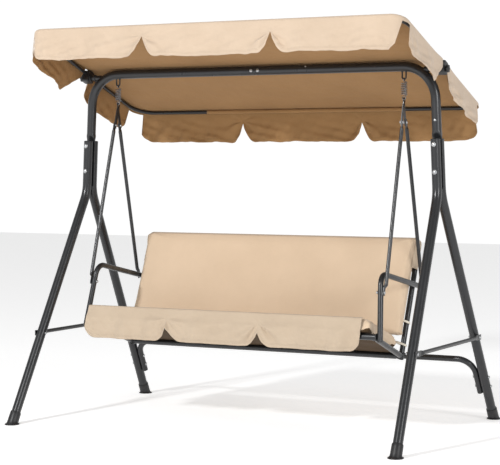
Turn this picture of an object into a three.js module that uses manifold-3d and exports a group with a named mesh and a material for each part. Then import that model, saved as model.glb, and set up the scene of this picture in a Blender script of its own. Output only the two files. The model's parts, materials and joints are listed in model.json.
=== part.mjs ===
// Canopy swing bench: a tubular A-frame stand, a padded bench hanging on two springs, and a tilting canopy.
// Millimetres, +Z up, +X to the sitter's left, -Y to the front; the origin is on the floor between the feet.
import * as THREE from 'three';
import { mergeVertices } from 'three/addons/utils/BufferGeometryUtils.js';
import Module from 'manifold-3d';

const wasm = await Module();
wasm.setup();

// ---------------------------------------------------------------- driving dimensions
const GAP = 0.3; // clearance between touching pieces
const HOLE_PLAY = 0.6; // how much wider a bolt hole is than its bolt
const BEND_STEPS = 6;
const BORE_SIDES = 8;
const PIVOT_SIDES = 16; // holes that turn on a shank

const STAND = {
  beamHeight: 1445, // centre line of the top beam
  topHalfWidth: 787, // side frames at beam height
  footHalfWidth: 849, // side frames at the floor: they lean outwards
  footHalfDepth: 525,
  tubeDiameter: 38,
  tubeSides: 16,
  cornerRadius: 135,
  jointX: 7, // where the two beam halves meet
  tongueThickness: 3, // pressed lower end of each post
  tongueWidth: 40,
  tongueFoot: 968,
  tonguePressed: 192,
  tongueTaper: 35,
  legTop: 1160,
  legBend: 942,
  legBendRadius: 150,
  legFoot: 10,
};

const SLEEVE = { diameter: 34.2, wall: 1.6, halfLength: 42, boltOffset: 15 };

const FOOT = { flangeRadius: 30, flangeThickness: 4, sleeveRadius: 22.5, sleeveHeight: 48 };

const BRACE = { height: 360, diameter: 16, thickness: 3, width: 22, pressed: 47, taper: 25, overhang: 16 };

const STRETCHER = { height: 260, diameter: 25, bendRadius: 70, foot: 118, boltHeights: [147, 187] };

const LEG_BOLT_HEIGHTS = { upper: 1140, lower: 1033 };

const BOLT_M8 = { shank: 8, headRadius: 8, headHeight: 5, nutRadius: 7.5, nutHeight: 6, tail: 2 };
const BOLT_M6 = { shank: 6, headRadius: 6, headHeight: 4, nutRadius: 5.8, nutHeight: 5, tail: 1.5 };
const BOLT_SIDES = 8;

const HOOK = { rod: 6, halfWidth: 8, drop: 49 }; // its floor is this far below the beam's centre line

const SPRING = { wire: 3.4, radius: 11.5, turns: 7, loopRadius: 6.5, length: 74, sides: 6, turnSteps: 9 };

const YOKE = {
  thickness: 3,
  width: 16,
  neckHalfWidth: 7,
  eyeBore: 5.5,
  eyeRim: 5,
  limbDrop: 229, // below the beam's centre line
  boltDrop: 217,
};

const HANGER = {
  diameter: 15,
  sides: 12,
  thickness: 3,
  width: 19,
  pressed: 28,
  taper: 16,
  overhang: 11,
  apexY: -4,
  apexDrop: 145, // below the beam's centre line
};

const BENCH_WALL = 1.5; // wall of the bench's tubes

const BACK = {
  halfWidth: 628, // centre lines of the uprights
  diameter: 22,
  footY: 50,
  footHeight: 288,
  topY: 239,
  topHeight: 742,
  cornerRadius: 60,
  boltHeight: 575,
};

const SEAT = {
  frontY: -246, // centre line of the front tube
  frontHeight: 405,
  frontDiameter: 25,
  railDiameter: 22,
  railFrontOut: 12, // outside the back's uprights
  rearTubeHeight: 300,
};

const ARM = {
  diameter: 22,
  footOut: 40, // outside the back's uprights
  footY: -250,
  footHeight: 388,
  kneeOut: 17,
  kneeY: -190,
  kneeHeight: 646,
  kneeRadius: 48,
  rearOverhang: 16,
  boltHeight: 573,
};

const SEAT_PAD = { sideInset: 0, thickness: 50, frontOverhang: 38, length: 305, lift: 1.5 };

const SKIRT = {
  leftOverhang: 12,
  rightInset: 28,
  notches: [-255, 160],
  top: 472,
  foot: 335,
  thickness: 3,
  rise: 54,
};

const BACK_PAD = { sideInset: 14, thickness: 40, foot: 82, top: 487, lift: 1.5 };

const CANOPY = {
  pivotDrop: 12, // below the beam's centre line
  tilt: THREE.MathUtils.degToRad(21), // front edge up
  barDiameter: 15,
  barRise: 17, // bars above the pivot
  barHalfWidth: 818,
  barHalfDepth: 440,
  cornerRadius: 90,
  spigotLength: 40,
  spigotWall: 1.3,
  stubDiameter: 22,
  hubRadius: 18,
  hubThickness: 5,
  hubX: 797,
};

const CLAMP = { outerX: 834, halfDepth: 23, foot: -20, top: 30 };

const KNOB = { radius: 16, thickness: 14, lobes: 6, boltDepth: 32 };

const FABRIC = {
  halfWidth: 838,
  overhang: 5.5, // past the bar's outer face
  thickness: 3,
  beamClearance: 1.5, // between the beam and the roof's ridge
  crownHalfDepth: 50,
  drops: { front: 120, rear: 131 }, // valances below the bars
  sideDrop: 112,
  sideTipDepth: 130, // pointed end of a side valance's front lobe
  sideTipDrop: 129,
  endInset: 26,
  sideFlare: 30,
  endNotches: [-285, 285],
  notchRise: 82,
  notchHalfWidth: 20,
  notchCorner: 34,
  sideEnd: 432,
  sideSlot: 24,
};

// ---------------------------------------------------------------- finishes
const finish = (color, roughness, metalness) => ({ color, roughness, metalness });
const CHARCOAL = finish(0x3d3e42, 0.38, 0.35);
const BLACK_PLASTIC = finish(0x121212, 0.55, 0);
const ZINC = finish(0xb9bcc0, 0.35, 0.9);
const BEIGE = finish(0xd9c09d, 0.9, 0);

// ---------------------------------------------------------------- solids
function signedVolume(positions, index) {
  const [a, b, c] = [new THREE.Vector3(), new THREE.Vector3(), new THREE.Vector3()];
  let volume = 0;
  for (let i = 0; i < index.length; i += 3) {
    a.fromArray(positions, index[i] * 3);
    b.fromArray(positions, index[i + 1] * 3);
    c.fromArray(positions, index[i + 2] * 3);
    volume += a.dot(b.cross(c));
  }
  return volume;
}

function toSolid(geometry) {
  const bare = geometry.clone();
  bare.deleteAttribute('normal');
  bare.deleteAttribute('uv');
  const merged = mergeVertices(bare, 1e-4);
  const vertProperties = merged.attributes.position.array;
  const triVerts = Uint32Array.from(merged.index.array);
  if (signedVolume(vertProperties, triVerts) < 0) {
    triVerts.reverse();
  }
  return new wasm.Manifold(new wasm.Mesh({ numProp: 3, vertProperties, triVerts }));
}

function toGeometry(solid) {
  const { vertProperties, triVerts } = solid.getMesh();
  const geometry = new THREE.BufferGeometry();
  geometry.setAttribute('position', new THREE.BufferAttribute(vertProperties, 3));
  geometry.setIndex(new THREE.BufferAttribute(triVerts, 1));
  geometry.computeVertexNormals();
  return geometry;
}

function piece(name, solid, look) {
  const mesh = new THREE.Mesh(toGeometry(solid), new THREE.MeshStandardMaterial(look));
  mesh.name = name;
  return mesh;
}

function at(object, x, y, z) {
  object.position.set(x, y, z);
  return object;
}

const vec = (x, y, z) => new THREE.Vector3(x, y, z);
const ALONG_X = vec(1, 0, 0);
const ALONG_Y = vec(0, 1, 0);

/** A round bar from one point to another. */
function bar(from, to, diameter, sides = 12) {
  const along = to.clone().sub(from);
  const geometry = new THREE.CylinderGeometry(diameter / 2, diameter / 2, along.length(), sides);
  geometry.applyQuaternion(new THREE.Quaternion().setFromUnitVectors(ALONG_Y, along.clone().normalize()));
  const middle = from.clone().addScaledVector(along, 0.5);
  return toSolid(geometry.translate(middle.x, middle.y, middle.z));
}

function box(min, max) {
  const geometry = new THREE.BoxGeometry(max.x - min.x, max.y - min.y, max.z - min.z);
  const middle = min.clone().add(max).multiplyScalar(0.5);
  return toSolid(geometry.translate(middle.x, middle.y, middle.z));
}

/** A solid with a bolt hole through it, centred on a point and running both ways along an axis. */
function drill(solid, centre, axis, shank, reach) {
  const from = centre.clone().addScaledVector(axis, -reach);
  const to = centre.clone().addScaledVector(axis, reach);
  return solid.subtract(bar(from, to, shank + HOLE_PLAY, BOLT_SIDES));
}

/** Centre line of a bent tube: straight runs joined by circular bends, with a station at every bend step. */
class TubeLine extends THREE.Curve {
  constructor(corners, bendRadius, endMarks = [], startMarks = []) {
    super();
    this.stations = [];
    const first = corners[1].clone().sub(corners[0]).normalize();
    this.add(corners[0], first);
    startMarks.forEach((mark) => this.add(corners[0].clone().addScaledVector(first, mark), first));
    for (let i = 1; i < corners.length - 1; i += 1) {
      this.addBend(corners[i - 1], corners[i], corners[i + 1], bendRadius);
    }
    const end = corners[corners.length - 1];
    const last = end.clone().sub(corners[corners.length - 2]).normalize();
    [...endMarks].reverse().forEach((mark) => this.add(end.clone().addScaledVector(last, -mark), last));
    this.add(end, last);
  }

  add(point, tangent) {
    this.stations.push({ point: point.clone(), tangent: tangent.clone() });
  }

  addBend(before, corner, after, radius) {
    const into = corner.clone().sub(before).normalize();
    const out = after.clone().sub(corner).normalize();
    const turn = into.angleTo(out);
    const start = corner.clone().addScaledVector(into, -radius * Math.tan(turn / 2));
    const inward = out.clone().addScaledVector(into, -into.dot(out)).normalize();
    const centre = start.clone().addScaledVector(inward, radius);
    for (let k = 0; k <= BEND_STEPS; k += 1) {
      const angle = (turn * k) / BEND_STEPS;
      const point = centre.clone().addScaledVector(inward, -radius * Math.cos(angle));
      point.addScaledVector(into, radius * Math.sin(angle));
      const tangent = into.clone().multiplyScalar(Math.cos(angle)).addScaledVector(inward, Math.sin(angle));
      this.add(point, tangent);
    }
  }

  get steps() {
    return this.stations.length - 1;
  }

  getPointAt(share) {
    return this.stations[Math.round(share * this.steps)].point.clone();
  }

  getTangentAt(share) {
    return this.stations[Math.round(share * this.steps)].tangent.clone();
  }
}

function polygon(corners) {
  return new THREE.Shape(corners.map(([x, y]) => new THREE.Vector2(x, y)));
}

function disc(diameter, sides) {
  const points = [];
  for (let k = 0; k < sides; k += 1) {
    const angle = (2 * Math.PI * k) / sides;
    points.push(new THREE.Vector2(Math.cos(angle), Math.sin(angle)).multiplyScalar(diameter / 2));
  }
  return new THREE.Shape(points);
}

function tube(line, diameter, sides = 12) {
  return new THREE.ExtrudeGeometry(disc(diameter, sides), { steps: line.steps, extrudePath: line });
}

/** A bent tube with an open bore along its whole length. */
function hollowTube(corners, bendRadius, diameter, wall) {
  const bored = corners.map((corner) => corner.clone());
  const last = bored.length - 1;
  const past = (end, next) => bored[end].addScaledVector(bored[end].clone().sub(bored[next]).normalize(), 1);
  past(0, 1);
  past(last, last - 1);
  const outer = toSolid(tube(new TubeLine(corners, bendRadius), diameter));
  return outer.subtract(toSolid(tube(new TubeLine(bored, bendRadius), diameter - 2 * wall, BORE_SIDES)));
}

/**
 * Presses one end of a tube flat: thin along one direction, wider across it, round again past the taper.
 * A shift moves the flat off the tube's centre line.
 */
function pressEnd(geometry, end, inward, thin, diameter, press, shift = 0) {
  const across = new THREE.Vector3().crossVectors(inward, thin).normalize();
  const place = geometry.attributes.position;
  const point = new THREE.Vector3();
  for (let i = 0; i < place.count; i += 1) {
    point.fromBufferAttribute(place, i).sub(end);
    const back = point.dot(inward);
    const share = THREE.MathUtils.clamp((press.pressed + press.taper - back) / press.taper, 0, 1);
    const narrow = THREE.MathUtils.lerp(1, press.thickness / diameter, share) - 1;
    const widen = THREE.MathUtils.lerp(1, press.width / diameter, share) - 1;
    const offThin = point.dot(thin) * narrow + share * shift;
    const offAcross = point.dot(across) * widen;
    point.add(end).addScaledVector(thin, offThin).addScaledVector(across, offAcross);
    place.setXYZ(i, point.x, point.y, point.z);
  }
  return geometry;
}

/** A round-headed bolt with its nut: the head's seat is at the origin and the shank runs along +Y. */
function boltSolid(size, grip) {
  const { shank, headRadius, headHeight, nutRadius, nutHeight, tail } = size;
  const end = grip + nutHeight + tail;
  const outline = [
    [0, -headHeight],
    [headRadius, -headHeight * 0.4],
    [headRadius, 0],
    [shank / 2, 0],
    [shank / 2, end],
    [0, end],
  ].map(([r, y]) => new THREE.Vector2(r, y));
  const nut = new THREE.CylinderGeometry(nutRadius, nutRadius, nutHeight, 6);
  nut.translate(0, grip + nutHeight / 2, 0);
  return toSolid(new THREE.LatheGeometry(outline, BOLT_SIDES)).add(toSolid(nut));
}

/** A named bolt that clamps everything between two seats, head at the first. */
function bolt(name, size, headSeat, nutSeat) {
  const along = nutSeat.clone().sub(headSeat);
  const start = headSeat.clone().addScaledVector(along.clone().normalize(), -GAP);
  const mesh = piece(name, boltSolid(size, along.length() + 2 * GAP), ZINC);
  mesh.position.copy(start);
  mesh.quaternion.setFromUnitVectors(ALONG_Y, along.normalize());
  return mesh;
}

const SIDES = [
  { label: 'left', sign: -1 },
  { label: 'right', sign: 1 },
];

// ---------------------------------------------------------------- stand
const LEG_OFFSET = STAND.tubeDiameter / 2 + STAND.tongueThickness / 2 + GAP;

/** Half-width of the leaning side frames at a height. */
function sideHalfWidth(height) {
  const spread = STAND.footHalfWidth - STAND.topHalfWidth;
  return STAND.topHalfWidth + spread * (1 - height / STAND.beamHeight);
}

const onSide = (sign, y, height) => vec(sign * sideHalfWidth(height), y, height);

/** Distance of a leg's centre line from the middle plane at a height below its bend. */
function legDepth(height) {
  return LEG_OFFSET + (STAND.footHalfDepth - LEG_OFFSET) * (1 - height / STAND.legBend);
}

const BEAM_BOLT_X = [STAND.jointX - SLEEVE.boltOffset, STAND.jointX + SLEEVE.boltOffset];

const PIVOT_HEIGHT = STAND.beamHeight - CANOPY.pivotDrop;
const APEX_HEIGHT = STAND.beamHeight - HANGER.apexDrop;
const YOKE_BOLT_HEIGHT = STAND.beamHeight - YOKE.boltDrop;
const ARM_FOOT_X = BACK.halfWidth + ARM.footOut;
const ARM_KNEE_X = BACK.halfWidth + ARM.kneeOut;
/** Rise of the roof's ridge, which clears the beam's top. */
const ROOF_CROWN =
  CANOPY.pivotDrop +
  STAND.tubeDiameter / 2 +
  FABRIC.beamClearance -
  (CANOPY.barRise + CANOPY.barDiameter / 2 + 0.5);
const HANGER_HALF_WIDTH = BACK.halfWidth + BACK.diameter / 2 + ARM.diameter + 2 * GAP + HANGER.thickness / 2;
const HOOK_HALF_WIDTH = HANGER_HALF_WIDTH - HANGER.thickness / 2 - GAP - YOKE.thickness / 2;

/** Centre line of one half of the beam and its post, from the middle joint to the foot of the post. */
function beamLine(sign) {
  const seam = vec(STAND.jointX + (sign * GAP) / 2, 0, STAND.beamHeight);
  const corner = onSide(sign, 0, STAND.beamHeight);
  const foot = onSide(sign, 0, STAND.tongueFoot);
  const marks = [STAND.tonguePressed, STAND.tonguePressed + STAND.tongueTaper];
  return new TubeLine([seam, corner, foot], STAND.cornerRadius, marks);
}

function beamHalf({ label, sign }) {
  const { beamHeight, tubeDiameter, tubeSides, jointX } = STAND;
  const line = beamLine(sign);
  const foot = line.getPointAt(1);
  const inward = line.getTangentAt(1).negate();
  const press = { thickness: STAND.tongueThickness, width: STAND.tongueWidth };
  press.pressed = STAND.tonguePressed;
  press.taper = STAND.tongueTaper;
  const shell = tube(line, tubeDiameter, tubeSides);
  let solid = toSolid(pressEnd(shell, foot, inward, ALONG_Y, tubeDiameter, press));
  solid = solid.add(canopyStub(sign));
  const bore = SLEEVE.diameter + 2 * GAP;
  const boreEnd = vec(jointX + sign * (SLEEVE.halfLength + GAP), 0, beamHeight);
  const boreStart = vec(jointX - sign, 0, beamHeight);
  solid = solid.subtract(bar(boreStart, boreEnd, bore, tubeSides));
  const pinHole = vec(BEAM_BOLT_X[sign < 0 ? 0 : 1], 0, beamHeight);
  solid = drill(solid, pinHole, ALONG_Y, BOLT_M6.shank, tubeDiameter);
  Object.values(LEG_BOLT_HEIGHTS).forEach((height) => {
    solid = drill(solid, onSide(sign, 0, height), ALONG_Y, BOLT_M8.shank, STAND.tongueWidth);
  });
  return piece(`beam_${label}`, solid, CHARCOAL);
}

/** Short tube on the outside of a beam corner that carries the canopy, with the knob's threaded hole. */
function canopyStub(sign) {
  const { stubDiameter, hubRadius, hubThickness, hubX } = CANOPY;
  const rise = PIVOT_HEIGHT - (STAND.beamHeight - STAND.cornerRadius);
  const rootX = STAND.topHalfWidth - STAND.cornerRadius + Math.sqrt(STAND.cornerRadius ** 2 - rise ** 2);
  const face = vec(sign * hubX, 0, PIVOT_HEIGHT);
  const stub = bar(vec(sign * rootX, 0, PIVOT_HEIGHT), face, stubDiameter);
  const hub = bar(vec(sign * (hubX - hubThickness), 0, PIVOT_HEIGHT), face, 2 * hubRadius, 16);
  const threadFoot = vec(sign * (hubX - KNOB.boltDepth - 1), 0, PIVOT_HEIGHT);
  const thread = bar(threadFoot, vec(sign * (hubX + 1), 0, PIVOT_HEIGHT), BOLT_M8.shank + HOLE_PLAY);
  return stub.add(hub).subtract(thread);
}

function beamSleeve() {
  const { jointX, beamHeight, tubeSides } = STAND;
  const half = vec(SLEEVE.halfLength, 0, 0);
  const reach = vec(SLEEVE.halfLength + 1, 0, 0);
  const middle = vec(0, 0, 0);
  let solid = bar(half.clone().negate(), half, SLEEVE.diameter, tubeSides);
  solid = solid.subtract(bar(reach.clone().negate(), reach, SLEEVE.diameter - 2 * SLEEVE.wall, tubeSides));
  BEAM_BOLT_X.forEach((x) => {
    solid = drill(solid, middle.clone().setX(x - jointX), ALONG_Y, BOLT_M6.shank, SLEEVE.diameter);
  });
  return at(piece('beam_sleeve', solid, ZINC), jointX, 0, beamHeight);
}

function beamBolt(index) {
  const reach = STAND.tubeDiameter / 2;
  const x = BEAM_BOLT_X[index];
  const seats = [-reach, reach].map((y) => vec(x, y, STAND.beamHeight));
  return bolt(`beam_bolt_${SIDES[index].label}`, BOLT_M6, ...seats);
}

function leg({ label, sign }, end) {
  const { legTop, legBend, legBendRadius, legFoot, tubeDiameter, tubeSides } = STAND;
  const top = onSide(sign, end.sign * LEG_OFFSET, legTop);
  const bend = onSide(sign, end.sign * LEG_OFFSET, legBend);
  const foot = onSide(sign, end.sign * legDepth(legFoot), legFoot);
  let solid = toSolid(tube(new TubeLine([top, bend, foot], legBendRadius), tubeDiameter, tubeSides));
  Object.values(LEG_BOLT_HEIGHTS).forEach((height) => {
    const hole = onSide(sign, end.sign * LEG_OFFSET, height);
    solid = drill(solid, hole, ALONG_Y, BOLT_M8.shank, tubeDiameter / 2 + 1);
  });
  solid = drill(solid, bracePoint(sign, end), ALONG_X, BOLT_M6.shank, tubeDiameter);
  if (end.label === 'rear') {
    STRETCHER.boltHeights.forEach((height) => {
      const hole = onSide(sign, legDepth(height), height);
      solid = drill(solid, hole, ALONG_X, BOLT_M6.shank, tubeDiameter);
    });
  }
  return piece(`leg_${end.label}_${label}`, solid, CHARCOAL);
}

function bracePoint(sign, end) {
  return onSide(sign, end.sign * legDepth(BRACE.height), BRACE.height);
}

function legBolts({ label, sign }) {
  const reach = LEG_OFFSET + STAND.tubeDiameter / 2;
  return Object.entries(LEG_BOLT_HEIGHTS).map(([level, height]) => {
    const seats = [-reach, reach].map((y) => onSide(sign, y, height));
    return bolt(`leg_bolt_${level}_${label}`, BOLT_M8, ...seats);
  });
}

/** Moulded cap: a flat flange on the floor and a sleeve that leans with the leg inside it. */
function foot({ label, sign }, end) {
  const { flangeRadius, flangeThickness, sleeveRadius, sleeveHeight } = FOOT;
  const base = onSide(sign, end.sign * legDepth(0), 0);
  const along = onSide(sign, end.sign * legDepth(100), 100).sub(base).normalize();
  const point = (distance) => along.clone().multiplyScalar(distance);
  const profile = [
    [0, 0],
    [flangeRadius, 0],
    [flangeRadius, flangeThickness],
    [0, flangeThickness + 2],
  ].map(([r, z]) => new THREE.Vector2(r, z));
  const flange = toSolid(new THREE.LatheGeometry(profile, 16).rotateX(Math.PI / 2));
  const legReach = STAND.legFoot / along.z - GAP;
  const bore = bar(point(legReach), point(sleeveHeight * 2), STAND.tubeDiameter + 2 * GAP, STAND.tubeSides);
  const below = box(vec(-100, -100, -100), vec(100, 100, 0));
  const sleeve = bar(point(-sleeveRadius), point(sleeveHeight), 2 * sleeveRadius, STAND.tubeSides);
  const solid = sleeve.add(flange).subtract(below).subtract(bore);
  return at(piece(`foot_${end.label}_${label}`, solid, BLACK_PLASTIC), base.x, base.y, base.z);
}

const ENDS = [
  { label: 'front', sign: -1 },
  { label: 'rear', sign: 1 },
];

/** Thin tie between a front and a rear leg, its pressed ends bolted to their outer faces. */
function sideBrace({ label, sign }) {
  const reach = legDepth(BRACE.height) + BRACE.overhang;
  const x = sign * braceHalfWidth();
  const ends = ENDS.map((end) => vec(x, end.sign * reach, BRACE.height));
  const marks = [BRACE.pressed, BRACE.pressed + BRACE.taper];
  const geometry = tube(new TubeLine(ends, 0, marks, marks), BRACE.diameter);
  pressEnd(geometry, ends[0], ALONG_Y, ALONG_X, BRACE.diameter, BRACE);
  pressEnd(geometry, ends[1], ALONG_Y.clone().negate(), ALONG_X, BRACE.diameter, BRACE);
  let solid = toSolid(geometry);
  ENDS.forEach((end) => {
    const hole = vec(x, end.sign * legDepth(BRACE.height), BRACE.height);
    solid = drill(solid, hole, ALONG_X, BOLT_M6.shank, BRACE.width);
  });
  return piece(`side_brace_${label}`, solid, CHARCOAL);
}

function braceHalfWidth() {
  return sideHalfWidth(BRACE.height) + STAND.tubeDiameter / 2 + GAP + BRACE.thickness / 2;
}

function braceBolt({ label, sign }, end) {
  const hole = bracePoint(sign, end);
  const outer = hole.clone().setX(sign * (braceHalfWidth() + BRACE.thickness / 2));
  const inner = hole.clone().setX(sign * (sideHalfWidth(BRACE.height) - STAND.tubeDiameter / 2));
  return bolt(`brace_bolt_${end.label}_${label}`, BOLT_M6, outer, inner);
}

const STRETCHER_INSET = STAND.tubeDiameter / 2 + GAP + STRETCHER.diameter / 2;

function stretcherPoint(sign, height) {
  return vec(sign * (sideHalfWidth(height) - STRETCHER_INSET), legDepth(height), height);
}

/** Rear tie: a straight tube whose ends turn down and lie along the inner side of the rear legs. */
function rearStretcher() {
  const corners = [
    stretcherPoint(-1, STRETCHER.foot),
    stretcherPoint(-1, STRETCHER.height),
    stretcherPoint(1, STRETCHER.height),
    stretcherPoint(1, STRETCHER.foot),
  ];
  let solid = toSolid(tube(new TubeLine(corners, STRETCHER.bendRadius), STRETCHER.diameter));
  SIDES.forEach(({ sign }) => {
    STRETCHER.boltHeights.forEach((height) => {
      const hole = stretcherPoint(sign, height);
      solid = drill(solid, hole, ALONG_X, BOLT_M6.shank, STRETCHER.diameter);
    });
  });
  return piece('rear_stretcher', solid, CHARCOAL);
}

function stretcherBolts({ label, sign }) {
  return STRETCHER.boltHeights.map((height, index) => {
    const inner = stretcherPoint(sign, height);
    inner.x -= (sign * STRETCHER.diameter) / 2;
    const outer = onSide(sign, legDepth(height), height);
    outer.x += (sign * STAND.tubeDiameter) / 2;
    return bolt(`stretcher_bolt_${index + 1}_${label}`, BOLT_M6, inner, outer);
  });
}

/** Loop of rod welded under the beam; the spring hangs on the bottom of it. */
function hook({ label, sign }) {
  const { rod, halfWidth, drop } = HOOK;
  const corners = [
    [-halfWidth, drop],
    [-halfWidth, 0],
    [halfWidth, 0],
    [halfWidth, drop],
  ].map(([x, z]) => vec(x, 0, z));
  const loop = toSolid(tube(new TubeLine(corners, halfWidth - 0.01), rod, 10));
  const beam = toSolid(tube(beamLine(sign), STAND.tubeDiameter + 2 * GAP, STAND.tubeSides));
  const solid = loop.subtract(beam.translate([-sign * HOOK_HALF_WIDTH, 0, -SWING_HEIGHT]));
  return at(piece(`hook_${label}`, solid, CHARCOAL), sign * HOOK_HALF_WIDTH, 0, SWING_HEIGHT);
}

const SWING_HEIGHT = STAND.beamHeight - HOOK.drop;

function stand() {
  const group = new THREE.Group();
  SIDES.forEach((side, index) => {
    group.add(beamHalf(side), beamBolt(index), hook(side), ...legBolts(side));
    ENDS.forEach((end) => group.add(leg(side, end), foot(side, end), braceBolt(side, end)));
    group.add(sideBrace(side), ...stretcherBolts(side));
  });
  group.add(beamSleeve(), rearStretcher());
  return group;
}

// ---------------------------------------------------------------- springs
/** Points of one spring end: a loop round the rod it hangs on, then the lead into the coil. */
function springEnd() {
  const { loopRadius, radius, wire } = SPRING;
  const centre = HOOK.rod / 2 + 2 * GAP + wire / 2 - loopRadius;
  const points = [];
  for (let degrees = -40; degrees <= 270; degrees += 31) {
    const angle = THREE.MathUtils.degToRad(degrees);
    points.push(vec(0, loopRadius * Math.cos(angle), centre + loopRadius * Math.sin(angle)));
  }
  const foot = centre - loopRadius;
  points.push(vec(radius * 0.5, radius * 0.12, foot - wire * 0.45));
  points.push(vec(radius * 0.88, radius * 0.4, foot - wire));
  return points;
}

/** Extension spring hanging from the origin: the lower loop is a quarter turn from the upper one. */
function spring({ label, sign }) {
  const { radius, turns, length, wire, sides, turnSteps } = SPRING;
  const upper = springEnd();
  const lower = upper.map((p) => vec(p.y, p.x, -length - p.z)).reverse();
  const coilTop = upper[upper.length - 1].z - wire * 0.55;
  const coilFoot = -length - coilTop;
  const start = THREE.MathUtils.degToRad(45);
  const sweep = turns * 2 * Math.PI;
  const count = turns * turnSteps;
  const coil = [];
  for (let k = 0; k <= count; k += 1) {
    const angle = start + (sweep * k) / count;
    const z = THREE.MathUtils.lerp(coilTop, coilFoot, k / count);
    coil.push(vec(radius * Math.cos(angle), radius * Math.sin(angle), z));
  }
  const line = new THREE.CatmullRomCurve3([...upper, ...coil, ...lower], false, 'centripetal');
  const steps = count + coil.length / 2;
  const geometry = new THREE.ExtrudeGeometry(disc(wire, sides), { steps, extrudePath: line });
  return at(piece(`spring_${label}`, toSolid(geometry), ZINC), sign * HOOK_HALF_WIDTH, 0, 0);
}

// ---------------------------------------------------------------- bench frame
// The bench group hangs from the hooks: its origin is on the swing axis, so heights are measured from there.
const hung = (x, y, height) => vec(x, y, height - SWING_HEIGHT);

function uprightDepth(height) {
  const share = (height - BACK.footHeight) / (BACK.topHeight - BACK.footHeight);
  return THREE.MathUtils.lerp(BACK.footY, BACK.topY, share);
}

function armPostPoint(sign, height) {
  const share = (height - ARM.footHeight) / (ARM.kneeHeight - ARM.footHeight);
  const x = THREE.MathUtils.lerp(ARM_FOOT_X, ARM_KNEE_X, share);
  return hung(sign * x, THREE.MathUtils.lerp(ARM.footY, ARM.kneeY, share), height);
}

const ARM_REAR_HALF_WIDTH = BACK.halfWidth + BACK.diameter / 2 + GAP + ARM.diameter / 2;

/** Where each hanger's lower bolt crosses it; the front one clears the leaning post it is bolted to. */
const HANGER_FEET = {
  front: {
    x: armPostPoint(1, ARM.boltHeight - HANGER.overhang).x + ARM.diameter / 2 + GAP + HANGER.thickness / 2,
    y: armPostPoint(1, ARM.boltHeight).y,
    height: ARM.boltHeight,
  },
  rear: {
    x: ARM_REAR_HALF_WIDTH + ARM.diameter / 2 + GAP + HANGER.thickness / 2,
    y: uprightDepth(BACK.boltHeight),
    height: BACK.boltHeight,
  },
};

/** A point on a hanger's centre line at a height, in the plane of the yoke's outer face. */
function hangerPoint(sign, end, height) {
  const target = HANGER_FEET[end.label];
  const share = (height - APEX_HEIGHT) / (target.height - APEX_HEIGHT);
  return hung(sign * HANGER_HALF_WIDTH, THREE.MathUtils.lerp(HANGER.apexY, target.y, share), height);
}

/** Tube with pressed ends: the upper flat is central, the lower one flush with the tube's inner side. */
function hanger({ label, sign }, end) {
  const target = HANGER_FEET[end.label];
  const shift = (HANGER.diameter - HANGER.thickness) / 2;
  const boltTop = hangerPoint(sign, end, YOKE_BOLT_HEIGHT);
  const boltFoot = hangerPoint(sign, end, target.height).setX(sign * target.x);
  const lineFoot = boltFoot.clone().setX(sign * (target.x + shift));
  const down = lineFoot.clone().sub(boltTop).normalize();
  const top = boltTop.clone().addScaledVector(down, -HANGER.overhang);
  const foot = lineFoot.clone().addScaledVector(down, HANGER.overhang);
  const marks = [HANGER.pressed, HANGER.pressed + HANGER.taper];
  const geometry = tube(new TubeLine([top, foot], 0, marks, marks), HANGER.diameter, HANGER.sides);
  pressEnd(geometry, top, down, ALONG_X, HANGER.diameter, HANGER);
  pressEnd(geometry, foot, down.clone().negate(), ALONG_X, HANGER.diameter, HANGER, -sign * shift);
  let solid = toSolid(geometry);
  [boltTop, boltFoot].forEach((hole) => {
    solid = drill(solid, hole, ALONG_X, BOLT_M6.shank, HANGER.diameter / 2);
  });
  return piece(`hanger_${end.label}_${label}`, solid, CHARCOAL);
}

/** Flat inverted V that joins the two hangers of one side to the spring's lower loop. */
function yoke({ label, sign }) {
  const { thickness, width, neckHalfWidth, eyeBore, eyeRim, limbDrop } = YOKE;
  const eyeHeight = 2 * GAP - SPRING.length - HOOK.rod / 2 - eyeBore;
  const forkHeight = APEX_HEIGHT - SWING_HEIGHT;
  const options = { depth: thickness, bevelEnabled: false, curveSegments: 8 };
  const slab = (shape) => toSolid(new THREE.ExtrudeGeometry(shape, options));
  let outline = slab(new THREE.Shape().absarc(0, eyeHeight, eyeBore + eyeRim, 0, 2 * Math.PI));
  outline = outline.add(
    slab(
      polygon([
        [-neckHalfWidth, eyeHeight],
        [neckHalfWidth, eyeHeight],
        [neckHalfWidth, forkHeight - width / 2],
        [-neckHalfWidth - width / 4, forkHeight - width / 2],
      ]),
    ),
  );
  ENDS.forEach((end) => {
    const root = hangerPoint(0, end, APEX_HEIGHT);
    const foot = hangerPoint(0, end, STAND.beamHeight - limbDrop);
    const along = new THREE.Vector2(foot.y - root.y, foot.z - root.z).normalize();
    const [dy, dz] = [(-along.y * width) / 2, (along.x * width) / 2];
    outline = outline.add(
      slab(
        polygon([
          [root.y + dy, root.z + dz],
          [foot.y + dy, foot.z + dz],
          [foot.y - dy, foot.z - dz],
          [root.y - dy, root.z - dz],
        ]),
      ),
    );
  });
  let solid = outline.rotate([90, 0, 0]).rotate([0, 0, 90]).translate([-thickness / 2, 0, 0]);
  solid = drill(solid, vec(0, 0, eyeHeight), ALONG_X, 2 * eyeBore - HOLE_PLAY, thickness);
  ENDS.forEach((end) => {
    solid = drill(solid, hangerPoint(0, end, YOKE_BOLT_HEIGHT).setX(0), ALONG_X, BOLT_M6.shank, thickness);
  });
  return at(piece(`yoke_${label}`, solid, CHARCOAL), sign * HOOK_HALF_WIDTH, 0, 0);
}

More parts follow.
